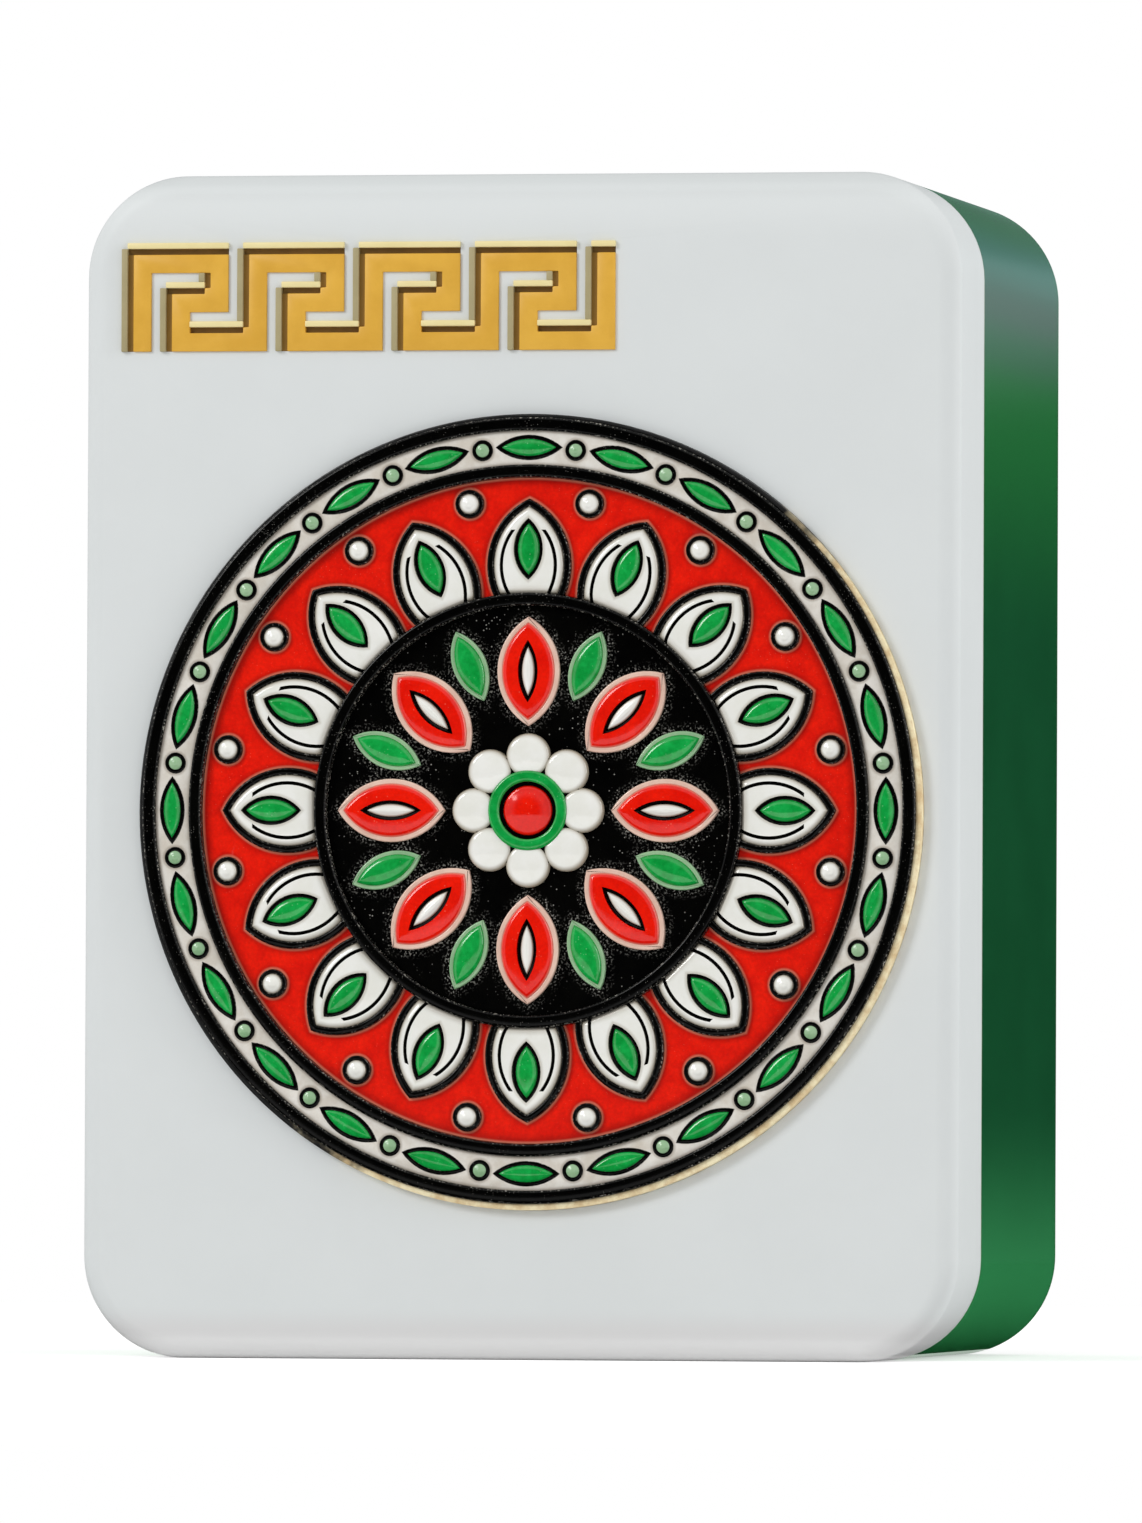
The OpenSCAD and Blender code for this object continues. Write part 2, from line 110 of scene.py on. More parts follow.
# A lens is given by its length, its width and how far out its middle lies
band_middle_r = (band_r + middle_ring_r) / 2
bead_l = 0.6 * 2 * pi * band_middle_r / bead_count
bead_w = 0.54 * (band_r - middle_ring_r)
pearl_d = 0.42 * (band_r - middle_ring_r)
bead_lens = bead_l, bead_w, 0  # moved out once it is laid along the band

tip_gap = 0.95
petal_tip_r = red_field_r - tip_gap
petal_root_r = inner_ring_r - 1.1
petal_l = petal_tip_r - petal_root_r
petal_r = (petal_tip_r + petal_root_r) / 2
petal_w = 0.76 * 2 * pi * petal_r / petal_count
petal_lens = petal_l, petal_w, petal_r
petal_show = petal_tip_r - inner_ring_r
petal_show_r = inner_ring_r + petal_show / 2
root_cut_r = inner_ring_r - 0.06
heart_l = 0.6 * petal_show
heart_w = 0.31 * petal_w
heart_lens = heart_l, heart_w, petal_show_r
vein_inset = 0.1 * petal_w
vein_end_r = inner_ring_r + 0.72 * petal_show
bud_d = 0.72
bud_r = petal_tip_r + 0.64 * tip_gap - bud_d / 2

centre_r = 5.2 / 2
centre_ring_d = 2.7
dome_d = 1.7
flower_tip_r = black_field_r - 0.55
flower_root_r = centre_r + 0.42
flower_l = flower_tip_r - flower_root_r
flower_r = (flower_tip_r + flower_root_r) / 2
flower_w = 0.5 * 2 * pi * flower_r / flower_count
flower_lens = flower_l, flower_w, flower_r
petal_rim_w = 0.15
drop_l = 0.5 * flower_l
drop_w = 0.24 * flower_w
drop_lens = drop_l, drop_w, flower_r
leaf_l = 0.66 * flower_l
leaf_w = 0.5 * flower_w
leaf_r = flower_tip_r - leaf_l / 2
leaf_lens = leaf_l, leaf_w, leaf_r
leaf_rim_w = 0.12
lobe_spread = 1.07 * sin(pi / lobe_count)
lobe_r = centre_r * lobe_spread / (1 + lobe_spread)
lobe_place_r = centre_r - lobe_r

# Fine sizes of the modelled pieces
lap = 0.03            # how far an outline reaches under its cell
fine_lap = 0.02
lobe_tuck = 0.12      # how far the lobes reach under the green ring
outline_lift = 0.03   # how far the bolder outlines stand above their height in the CAD
casting_swell = 0.04  # how far the casting reaches towards the wall of its seat
clear_h = 1.0         # how far a cutter reaches above the face
groove_base = 0.1     # lowest point of the grooves round hearts and drops
slab_border = 0.35    # flat border round the middle of a slab's outer face
ring_steps = 192      # flats round the large rings
petal_steps = 22      # flats along each arc of the larger petals

# Places that the modelled pieces are stood up at
UPRIGHT = Matrix.Rotation(pi / 2, 4, "X") @ Matrix.Scale(MM, 4)
FACE_PLACE = Matrix.Translation((0, face_y, (slab_low.z + slab_high.z) / 2)) @ UPRIGHT
MEDALLION_PLACE = Matrix.Translation((medallion_x * MM, face_y, medallion_y * MM)) @ UPRIGHT
AS_PACKED = Matrix.Identity(4)

# Modelling
SAME_HEIGHT = 1e-4
CROWN_SHARES = (0.82, 0.62, 0.42, 0.24, 0.09)  # how far out the rows of a crowned top lie
TONE_STEP = 0.618034  # spreads the tones of neighbours far apart


def only(piece):
    """Selects one piece and makes it the active one."""
    bpy.ops.object.select_all(action="DESELECT")
    piece.select_set(True)
    bpy.context.view_layer.objects.active = piece


def applied(piece):
    """Puts a piece's place, turn and size into its mesh."""
    only(piece)
    bpy.ops.object.transform_apply(location=True, rotation=True, scale=True)
    return piece


def settled(name):
    """Names the piece that was just added and puts its place into its mesh."""
    piece = bpy.context.view_layer.objects.active
    piece.name = name
    piece.data.name = name
    return applied(piece)


def disc(name, radius, height, place=(0, 0), steps=64):
    """A flat round face."""
    bpy.ops.object.select_all(action="DESELECT")
    bpy.ops.mesh.primitive_circle_add(vertices=steps, radius=radius, fill_type="NGON",
                                      location=(*place, height))
    return settled(name)


def open_mesh(piece, kind="FACE"):
    """Opens a piece for editing with nothing selected."""
    only(piece)
    bpy.ops.object.mode_set(mode="EDIT")
    bpy.ops.mesh.select_mode(type=kind)
    bpy.ops.mesh.select_all(action="DESELECT")


def close_mesh():
    bpy.ops.object.mode_set(mode="OBJECT")


def select_whole():
    bpy.ops.mesh.select_all(action="SELECT")


def turn_outwards():
    """Turns all faces of the open mesh outwards."""
    select_whole()
    bpy.ops.mesh.normals_make_consistent(inside=False)


def pick(piece, kind, wanted):
    """Selects the faces or edges of the open mesh that are wanted."""
    bpy.ops.mesh.select_mode(type=kind)
    bpy.ops.mesh.select_all(action="DESELECT")
    form = bmesh.from_edit_mesh(piece.data)
    for part in form.faces if kind == "FACE" else form.edges:
        part.select_set(bool(wanted(part)))
    form.select_flush_mode()
    bmesh.update_edit_mesh(piece.data)


def round_picked(radius, steps, clamp=False):
    """Rounds the selected edges of the open mesh."""
    bpy.ops.mesh.bevel(offset=radius, segments=steps, profile=0.5, affect="EDGES", clamp_overlap=clamp)


def lies_at(height, part):
    return all(abs(v.co.z - height) < SAME_HEIGHT for v in part.verts)


def round_top_edges(piece, top, radius, steps=3, clamp=True):
    """Rounds the edges where the flat top of a piece meets its walls."""
    pick(piece, "EDGE", lambda edge: lies_at(top, edge) and len(edge.link_faces) == 2
         and min(abs(f.normal.z) for f in edge.link_faces) < 0.5)
    round_picked(radius, steps, clamp)


def raise_by(height_step, share_w=1.0, share_l=1.0, middle=(0, 0, 0)):
    """Extrudes the selected faces by one step and draws them in towards a middle."""
    bpy.ops.mesh.extrude_region_move(TRANSFORM_OT_translate={"value": (0, 0, height_step)})
    if share_w != 1.0 or share_l != 1.0:
        bpy.ops.transform.resize(value=(share_w, share_l, 1), center_override=middle)


def slice_off(place, beyond, fill=False):
    """Cuts off what lies beyond a plane of the open mesh."""
    select_whole()
    bpy.ops.mesh.bisect(plane_co=place, plane_no=beyond, clear_outer=True, use_fill=fill, threshold=1e-5)


def leave_border(width):
    """Leaves only a border of the flat outline that is open."""
    select_whole()
    bpy.ops.mesh.inset(thickness=width, use_even_offset=True)
    bpy.ops.mesh.delete(type="FACE")


def give_walls(depth):
    """Closes the flat outline that is open with walls of a depth, which may be below 0."""
    select_whole()
    raise_by(depth)
    turn_outwards()


def prism(piece, start, end):
    """Turns a flat outline at one height into a closed block that ends at another."""
    open_mesh(piece)
    give_walls(end - start)
    close_mesh()
    return piece


def banded(piece, width, top, rounding, steps=3):
    """Turns a flat outline into a closed band that runs round it, with both its top edges rounded."""
    open_mesh(piece)
    leave_border(width)
    give_walls(-dish_depth - top)
    round_top_edges(piece, top, rounding, steps)
    close_mesh()
    return piece


def arc_of(length, width):
    """Radius of a lens's two arcs, and how far off their middles lie."""
    arc_r = (length * length + width * width) / (4 * width)
    return arc_r, arc_r - width / 2


def lens_face(name, lens, steps, height, grow=0.0):
    """A flat lens along y, made of two arcs of so many flats each, grown evenly by grow."""
    length, width, middle_r = lens
    arc_r, off = arc_of(length, width)
    half_arc = acos(off / (arc_r + grow))
    around = 4 * round(steps * pi / half_arc / 4)
    piece = disc(name, arc_r + grow, height, (off, 0), around)
    open_mesh(piece)
    slice_off((0, 0, 0), (1, 0, 0))
    close_mesh()
    mirror = piece.modifiers.new("Mirror", "MIRROR")
    mirror.merge_threshold = 1e-3
    bpy.ops.object.modifier_apply(modifier="Mirror")
    open_mesh(piece)
    select_whole()
    bpy.ops.mesh.dissolve_faces()
    turn_outwards()
    bpy.ops.transform.translate(value=(0, middle_r, 0))
    close_mesh()
    return piece


def puffed(piece, half_w, half_l, middle_r, crown, rounding):
    """Turns a flat outline at height 0 into a cell on the dish's floor, with a rounded edge and a crown."""
    middle = (0, middle_r, 0)
    open_mesh(piece)
    select_whole()
    bpy.ops.transform.translate(value=(0, 0, -dish_depth))
    raise_by(cell_h - crown - rounding + dish_depth)
    gone, height = 0.0, 0.0
    edge_steps = 4
    for step in range(1, edge_steps + 1):
        turn = pi / 2 * step / edge_steps
        in_step, up_step = rounding * (1 - cos(turn)), rounding * sin(turn)
        share_w = (half_w - in_step) / (half_w - gone)
        share_l = (half_l - in_step) / (half_l - gone)
        raise_by(up_step - height, share_w, share_l, middle)
        gone, height = in_step, up_step
    share, lift = 1.0, 0.0
    for next_share in CROWN_SHARES:
        next_lift = crown * (1 - next_share * next_share)
        raise_by(next_lift - lift, next_share / share, next_share / share, middle)
        share, lift = next_share, next_lift
    turn_outwards()
    close_mesh()
    return piece


def lens_cell(name, lens, steps, crown, rounding):
    """A crowned cell of enamel with the outline of a lens."""
    length, width, middle_r = lens
    return puffed(lens_face(name, lens, steps, 0), width / 2, length / 2, middle_r, crown, rounding)


def round_cell(name, across, middle_r, steps, crown, rounding):
    """A crowned round cell of enamel."""
    flat = disc(name, across / 2, 0, (0, middle_r), steps)
    return puffed(flat, across / 2, across / 2, middle_r, crown, rounding)


def round_band(name, outer_r, width, top, rounding, steps=3, middle_r=0, around=ring_steps):
    """A ring of enamel with rounded top edges."""
    return banded(disc(name, outer_r, top, (0, middle_r), around), width, top, rounding, steps)


def cut(piece, cutter):
    """Cuts one piece out of another."""
    only(piece)
    groove = piece.modifiers.new("Groove", "BOOLEAN")
    groove.operation = "DIFFERENCE"
    groove.solver = "EXACT"
    groove.object = cutter
    bpy.ops.object.modifier_apply(modifier="Groove")
    bpy.data.objects.remove(cutter)
    return piece


def lens_groove(name, lens, line, steps):
    """A cutter that makes room for the outline of a lens in a larger cell."""
    return prism(lens_face(name, lens, steps, clear_h, line), clear_h, groove_base)


def lens_band(name, lens, line, top, rounding, steps, under=lap):
    """An outline round a lens cell: a larger lens with the cell's place cut out, its top edges rounded."""
    piece = prism(lens_face(name, lens, steps, top, line), top, -dish_depth)
    above = top + clear_h
    opening = lens_face("Opening", lens, steps, above, -under)
    cut(piece, prism(opening, above, -dish_depth - clear_h))
    open_mesh(piece)
    round_top_edges(piece, top, rounding, clamp=False)
    close_mesh()
    return piece


def eased(piece, radius, steps=2):
    """Rounds all of a piece's sharp edges a little."""
    only(piece)
    ease = piece.modifiers.new("Ease", "BEVEL")
    ease.width = radius
    ease.segments = steps
    ease.limit_method = "ANGLE"
    ease.angle_limit = radians(45)
    ease.use_clamp_overlap = True
    bpy.ops.object.modifier_apply(modifier="Ease")
    return piece


def joined(pieces):
    """Joins pieces into the first of them."""
    bpy.ops.object.select_all(action="DESELECT")
    for piece in pieces:
        piece.select_set(True)
    bpy.context.view_layer.objects.active = pieces[0]
    bpy.ops.object.transform_apply(location=True, rotation=True, scale=True)
    bpy.ops.object.join()
    return bpy.context.view_layer.objects.active


def all_round(piece, count, share=0.0):
    """Copies a piece evenly round the medallion, each with its own mesh and tone, and joins them."""
    pieces = [piece]
    for _ in range(count - 1):
        only(piece)
        bpy.ops.object.duplicate(linked=False)
        pieces.append(bpy.context.view_layer.objects.active)
    for number, copy in enumerate(pieces):
        copy.rotation_euler.z = -2 * pi * (number + share) / count
        tone = copy.data.attributes.new("tone", "FLOAT", "POINT")
        tone.data.foreach_set("value", [(number * TONE_STEP) % 1.0] * len(copy.data.vertices))
    return joined(pieces)


def from_node(name, node):
    """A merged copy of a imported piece, with its flat faces whole again."""
    only(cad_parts[node])
    bpy.ops.object.duplicate(linked=False)
    piece = bpy.context.view_layer.objects.active
    piece.name = name
    piece.data.name = name
    piece.parent = None
    for key in list(piece.keys()):
        del piece[key]
    open_mesh(piece, "VERT")
    select_whole()
    bpy.ops.mesh.remove_doubles(threshold=2e-6)
    bpy.ops.mesh.dissolve_limited(angle_limit=radians(1))
    close_mesh()
    return piece


def stand(piece, node, slot, finish=None, smooth_to=40, place=MEDALLION_PLACE, keep_flats=False):
    """Stands a piece up in its place for a node, in its slot's own finish or in another."""
    only(piece)
    bpy.ops.object.shade_smooth_by_angle(angle=radians(smooth_to))
    piece.matrix_world = place
    applied(piece)
    if keep_flats:
        # The large flat faces keep their own direction beside the rounded edges
        piece.modifiers.new("Weighted", "WEIGHTED_NORMAL").keep_sharp = True
        bpy.ops.object.modifier_apply(modifier="Weighted")
    piece.data.materials.clear()
    piece.data.materials.append(finish or finishes[slot])
    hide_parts(node)
    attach(piece, "root")


# Parts of finishes

# A colour is written as it is seen on a screen, in three parts from 0 to 255
def srgb(*parts):
    """A screen colour as Blender's own."""
    return tuple(((c / 255 + 0.055) / 1.055) ** 2.4 if c > 10 else c / 255 / 12.92 for c in parts) + (1.0,)


def add_node(tree, kind, **settings):
    node = tree.nodes.new(kind)
    for key, value in settings.items():
        setattr(node, key, value)
    return node


def feed(tree, value, socket):
    """Wires a socket to another one, or sets it to a number or a screen colour."""
    if isinstance(value, tuple):
        socket.default_value = srgb(*value)
    elif isinstance(value, (int, float)):
        socket.default_value = value
    else:
        tree.links.new(value, socket)


def calc(tree, operation, *values, clamp=False):
    """A Math node on sockets or numbers."""
    node = add_node(tree, "ShaderNodeMath", operation=operation, use_clamp=clamp)
    for socket, value in zip(node.inputs, values):
        feed(tree, value, socket)
    return node.outputs[0]


def times(tree, a, b):
    return calc(tree, "MULTIPLY", a, b)


def soft_step(tree, value, low, high):
    """0 at low, 1 at high and smooth between them."""
    node = add_node(tree, "ShaderNodeMapRange", interpolation_type="SMOOTHSTEP")
    for socket, part in zip(node.inputs, (value, low, high)):
        feed(tree, part, socket)
    return node.outputs[0]


def mix_colour(tree, share, first, second, blend="MIX"):
    node = add_node(tree, "ShaderNodeMix", data_type="RGBA", blend_type=blend)
    for number, value in ((0, share), (6, first), (7, second)):
        feed(tree, value, node.inputs[number])
    return node.outputs[2]


def on_piece(tree):
    """Place of a point, as Object coordinates."""
    return add_node(tree, "ShaderNodeTexCoord").outputs["Object"]


def apart(tree, vector):
    """The X, Y and Z of a vector."""
    node = add_node(tree, "ShaderNodeSeparateXYZ")
    feed(tree, vector, node.inputs[0])
    return node.outputs


def normal_of(tree):
    return apart(tree, add_node(tree, "ShaderNodeNewGeometry").outputs["Normal"])


def noise(tree, scale, detail=2.0, roughness=0.5):
    """Noise of so many waves to the metre."""
    node = add_node(tree, "ShaderNodeTexNoise")
    feed(tree, on_piece(tree), node.inputs["Vector"])
    for label, value in (("Scale", scale), ("Detail", detail), ("Roughness", roughness)):
        feed(tree, value, node.inputs[label])
    return node.outputs[0]


def length_of(tree, a, b):
    """Length of the slope over two legs."""
    return calc(tree, "SQRT", calc(tree, "ADD", times(tree, a, a), times(tree, b, b)))


def new_group(name, outputs, **inputs):
    """A shader node group of numbers, with named outputs, and named inputs with their usual values."""
    group = bpy.data.node_groups.new(name, "ShaderNodeTree")
    for label, value in inputs.items():
        socket = group.interface.new_socket(name=label, in_out="INPUT", socket_type="NodeSocketFloat")
        socket.default_value = value
    for label in outputs:
        group.interface.new_socket(name=label, in_out="OUTPUT", socket_type="NodeSocketFloat")
    return group, add_node(group, "NodeGroupInput").outputs, add_node(group, "NodeGroupOutput").inputs


def placed_group(tree, group, **values):
    node = add_node(tree, "ShaderNodeGroup")
    node.node_tree = group
    for label, value in values.items():
        node.inputs[label].default_value = value
    return node.outputs


def make_specks():
    """Fine pale specks, dust and tiny bubbles, in drifts."""
    tree, given, out = new_group("Specks", ["Mask"], Size=0.0001, Amount=0.3, Spread=1.0)
    cells = add_node(tree, "ShaderNodeTexVoronoi")
    feed(tree, on_piece(tree), cells.inputs["Vector"])
    feed(tree, calc(tree, "DIVIDE", 1.0, given["Size"]), cells.inputs["Scale"])
    chance = add_node(tree, "ShaderNodeSeparateColor")
    feed(tree, cells.outputs["Color"], chance.inputs[0])
    kept = calc(tree, "LESS_THAN", chance.outputs[0], given["Amount"])
    largest_r = 0.34
    speck_r = times(tree, chance.outputs[1], largest_r)
    near = calc(tree, "SUBTRACT", 1.0, calc(tree, "DIVIDE", cells.outputs["Distance"], speck_r), clamp=True)
    drifts = soft_step(tree, noise(tree, 700), 0.35, 0.62)
    drifts = calc(tree, "POWER", drifts, given["Spread"])
    feed(tree, times(tree, times(tree, near, kept), drifts), out["Mask"])
    return tree


def make_clouds():
    """Cloudy change of tone within one colour."""
    tree, given, out = new_group("Clouds", ["Value"], Size=0.001)
    drift = noise(tree, calc(tree, "DIVIDE", 1.0, given["Size"]), 5, 0.62)
    feed(tree, soft_step(tree, drift, 0.3, 0.7), out["Value"])
    return tree


def make_turned_edge():
    """Where a surface turns away from the face of the tile: the rounded edges of the enamel."""
    tree, given, out = new_group("Turned edge", ["Mask"], Facing=0.95, Edge=0.6)
    facing = times(tree, normal_of(tree)["Y"], -1.0)
    flat = soft_step(tree, facing, given["Edge"], given["Facing"])
    feed(tree, calc(tree, "SUBTRACT", 1.0, flat), out["Mask"])
    return tree


def make_round_lenses():
    """How far a point lies outside the nearest lens of a row, and from the medallion's middle, in mm."""
    tree, given, out = new_group("Round lenses", ["Distance", "Radius"],
                                 Count=16, Share=0.0, Middle=8.0, Arc=1.0, Off=0.0)
    place = apart(tree, on_piece(tree))
    east = calc(tree, "MULTIPLY_ADD", place["X"], 1000, -medallion_x)
    north = calc(tree, "MULTIPLY_ADD", place["Z"], 1000, -medallion_y)
    reach = length_of(tree, east, north)
    turn = calc(tree, "DIVIDE", calc(tree, "ARCTAN2", east, north), 2 * pi)
    number = calc(tree, "SUBTRACT", times(tree, turn, given["Count"]), given["Share"])
    part = calc(tree, "SUBTRACT", number, calc(tree, "ROUND", number))
    swing = calc(tree, "DIVIDE", times(tree, part, 2 * pi), given["Count"])
    across = calc(tree, "ABSOLUTE", times(tree, reach, calc(tree, "SINE", swing)))
    along = calc(tree, "SUBTRACT", times(tree, reach, calc(tree, "COSINE", swing)), given["Middle"])
    from_arc_middle = length_of(tree, calc(tree, "ADD", across, given["Off"]), along)
    feed(tree, calc(tree, "SUBTRACT", from_arc_middle, given["Arc"]), out["Distance"])
    feed(tree, reach, out["Radius"])
    return tree


def make_skin():
    """Slight waves in a glossy skin, as a height for a Bump node."""
    tree, given, out = new_group("Skin", ["Height"], Size=0.0005)
    feed(tree, noise(tree, calc(tree, "DIVIDE", 1.0, given["Size"]), 3), out["Height"])
    return tree


specks, clouds, turned_edge = make_specks(), make_clouds(), make_turned_edge()
round_lenses, skin = make_round_lenses(), make_skin()


# Painted shade and painted highlights beside rings and cells
def lens_row(count, lens, line=0.0, share=0.0):
    """Lenses round the medallion, with or without their outlines, as the group of round lenses takes them."""
    length, width, middle_r = lens
    arc_r, off = arc_of(length, width)
    return {"Count": count, "Share": share, "Middle": middle_r, "Arc": arc_r + line, "Off": off}


def disc_row(count, middle_r, radius, share=0.0):
    return {"Count": count, "Share": share, "Middle": middle_r, "Arc": radius, "Off": 0.0}


petals = lens_row(petal_count, petal_lens)
outlined_petals = lens_row(petal_count, petal_lens, line_w)
outlined_hearts = lens_row(petal_count, heart_lens, fine_line_w)
buds = disc_row(petal_count, bud_r, bud_d / 2, 0.5)
outlined_buds = disc_row(petal_count, bud_r, bud_d / 2 + fine_line_w, 0.5)
outlined_pearls = disc_row(bead_count, band_middle_r, pearl_d / 2 + fine_line_w, 0.5)
flowers = lens_row(flower_count, flower_lens)
rimmed_flowers = lens_row(flower_count, flower_lens, petal_rim_w)
rimmed_leaves = lens_row(flower_count, leaf_lens, leaf_rim_w, 0.5)
drops = lens_row(flower_count, drop_lens)
lobes = disc_row(lobe_count, lobe_place_r, lobe_r)


def shades(*layers):
    """Painted shades and highlights over a base, each of a colour and a share, beside a row of lenses or a
    ring of a radius: full up to the first distance from it and gone at the second."""
    def laid(tree, base):
        for colour, share, outline, full_to, gone_at in layers:
            if isinstance(outline, dict):
                gap = placed_group(tree, round_lenses, **outline)["Distance"]
            else:
                gap = calc(tree, "SUBTRACT", placed_group(tree, round_lenses)["Radius"], outline)
            mask = soft_step(tree, calc(tree, "ABSOLUTE", gap), gone_at, full_to)
            base = mix_colour(tree, times(tree, mask, share), base, colour)
        return base
    return laid


# Colours of painted shade and of painted highlight beside rings and cells
BEIGE_SHADE, BROWN_SHADE = (158, 146, 124), (140, 124, 106)
RED_SHADE, RED_HIGHLIGHT, PINK_HIGHLIGHT = (140, 6, 3), (246, 150, 120), (244, 168, 148)

# Painted shade, brownish, beside the rings and pearls of the ivory band, where the raised black lines shade
# it
painted_shade_on_band = shades((BROWN_SHADE, 0.55, band_r, 0, 0.13),
                       (BROWN_SHADE, 0.45, middle_ring_r, 0, 0.12),
                       (BROWN_SHADE, 0.5, outlined_pearls, 0, 0.12))

# Painted shade, beige, at the foot of each petal and beside the dark outline of its heart
painted_shade_on_petals = shades((BEIGE_SHADE, 0.75, petals, 0, 0.24),
                         (BEIGE_SHADE, 0.6, inner_ring_r, 0, 0.3),
                         (BEIGE_SHADE, 0.45, outlined_hearts, 0, 0.13))

# Painted shade, beige, at the foot of each drop, each bud and each lobe of the centre flower
painted_shade_on_buds = shades((BEIGE_SHADE, 0.7, drops, 0, 0.1),
                       (BEIGE_SHADE, 0.7, buds, 0, 0.16),
                       (BEIGE_SHADE, 0.7, lobes, 0, 0.22))

# Painted highlight: a thin pale line where the red enamel of each flower petal meets its rim
painted_highlight_on_flower = shades((PINK_HIGHLIGHT, 0.8, flowers, 0, 0.1))

# Painted shade: darker red in the lee of the rings, petals and buds; and a painted highlight: the thin pale
# line where it meets them
painted_shade_and_highlight_on_red = shades((RED_SHADE, 0.6, red_field_r, 0, 0.42),
                      (RED_SHADE, 0.5, outlined_petals, 0.02, 0.3),
                      (RED_SHADE, 0.45, outlined_buds, 0.02, 0.26),
                      (RED_HIGHLIGHT, 0.9, red_field_r, 0, 0.13),
                      (RED_HIGHLIGHT, 0.85, outlined_petals, 0, 0.12),
                      (RED_HIGHLIGHT, 0.85, outlined_buds, 0, 0.12))


def dust_grain(tree):
    """Fine grains of pale dust, in drifts."""
    grains = soft_step(tree, noise(tree, 13000, 1), 0.53, 0.68)
    return times(tree, grains, placed_group(tree, clouds, Size=0.0007)[0])


def dust_and_highlight_on_edges(tree, base):
    """Pale dust grains on the rounded edges of the black lines, which also stand in as painted highlights
    there.
    """
    rim = placed_group(tree, turned_edge, Facing=0.995, Edge=0.7)[0]
    return mix_colour(tree, times(tree, times(tree, rim, dust_grain(tree)), 0.85), base, (178, 174, 164))


def dust_on_black(tree, base):
    """White dust that lies thickest beside the raised flower."""
    dusty = mix_colour(tree, times(tree, dust_grain(tree), 0.75), base, (196, 194, 186))
    halos = [soft_step(tree, placed_group(tree, round_lenses, **row)["Distance"], 0.36, -0.05)
             for row in (rimmed_flowers, rimmed_leaves)]
    return mix_colour(tree, calc(tree, "MAXIMUM", *halos), base, dusty)


# Painted light and shade on the slabs, and the tones of the casting

# Stops of painted light, shade and sheen: height on the tile in millimetres, colour and cover
WHITE_PAINTED_LIGHT = ((0.1, (246, 246, 246), 1), (0.45, (232, 232, 232), 1), (0.9, (217, 217, 217), 1),
              (1.8, (217, 217, 217), 0), (37.6, (226, 230, 230), 0), (39.0, (226, 230, 230), 1),
              (39.4, (222, 226, 226), 1), (39.8, (212, 216, 216), 1))
GREEN_PAINTED_LIGHT = ((0.5, (62, 165, 98), 1), (9.0, (62, 165, 98), 0), (24.0, (36, 124, 60), 0),
              (32.9, (36, 124, 60), 1))
GREEN_PAINTED_SHEEN = ((32.8, (44, 116, 66), 0), (34.4, (52, 110, 72), 0.8), (35.9, (78, 94, 86), 0.75),
              (37.6, (60, 122, 108), 0.8), (39.4, (40, 122, 70), 0.2))


def by_height(tree, place, stops, share, base):
    """Lays colours over a base by the height on the tile."""
    ramp = add_node(tree, "ShaderNodeValToRGB")
    ramp.color_ramp.interpolation = "EASE"
    while len(ramp.color_ramp.elements) < len(stops):
        ramp.color_ramp.elements.new(0.5)
    for stop, (height, colour, cover) in zip(ramp.color_ramp.elements, stops):
        stop.position = height / tile_h
        stop.color = srgb(*colour)[:3] + (cover,)
    feed(tree, times(tree, place["Z"], 1 / (tile_h * MM)), ramp.inputs[0])
    return mix_colour(tree, times(tree, ramp.outputs["Alpha"], share), base, ramp.outputs["Color"])


def beside_back(tree, place):
    """0 on the back of the tile, 1 on its sides."""
    return soft_step(tree, place["Y"], back_high.y, back_high.y - 0.002)


def painted_light_at_ends(tree, place, stops, base):
    """Painted light and shade: colours laid by height at the tile's two ends, less so on the back."""
    on_back = 0.4
    share = calc(tree, "MULTIPLY_ADD", beside_back(tree, place), 1 - on_back, on_back)
    return by_height(tree, place, stops, share, base)


def white_with_painted_light(tree, base):
    """White with painted light and shade at both ends, and painted shade on its upright edges, against the
    lamp light that they catch.
    """
    base = painted_light_at_ends(tree, apart(tree, on_piece(tree)), WHITE_PAINTED_LIGHT, base)
    normal = normal_of(tree)
    corner = times(tree, normal["X"], normal["Y"])
    deeper_right, deeper_left = 0.2, 0.1
    on_right = calc(tree, "MULTIPLY", corner, -deeper_right, clamp=True)
    on_left = calc(tree, "MULTIPLY", corner, deeper_left, clamp=True)
    return mix_colour(tree, calc(tree, "ADD", on_right, on_left), base, (0, 0, 0))


def green_with_painted_light(tree, base):
    """Green with painted light at its two ends, and a painted sheen at the top of its right side."""
    place = apart(tree, on_piece(tree))
    base = painted_light_at_ends(tree, place, GREEN_PAINTED_LIGHT, base)
    right = soft_step(tree, place["X"], 0.012, 0.0145)
    return by_height(tree, place, GREEN_PAINTED_SHEEN, times(tree, beside_back(tree, place), right), base)


def black_on_upper_left(tree, base):
    """Black over the casting's edge along its upper left side, with a ragged border towards the lower right.
    """
    place = apart(tree, on_piece(tree))
    east = calc(tree, "MULTIPLY_ADD", place["X"], 1000 / casting_r, -medallion_x / casting_r)
    north = calc(tree, "MULTIPLY_ADD", place["Z"], 1000 / casting_r, -medallion_y / casting_r)
    lean = calc(tree, "SUBTRACT", times(tree, east, 0.8), times(tree, north, 0.6))
    level = calc(tree, "MULTIPLY_ADD", noise(tree, 1400, 3), 0.5, lean)
    return mix_colour(tree, soft_step(tree, level, 0.52, 0.3), base, (6, 6, 6))


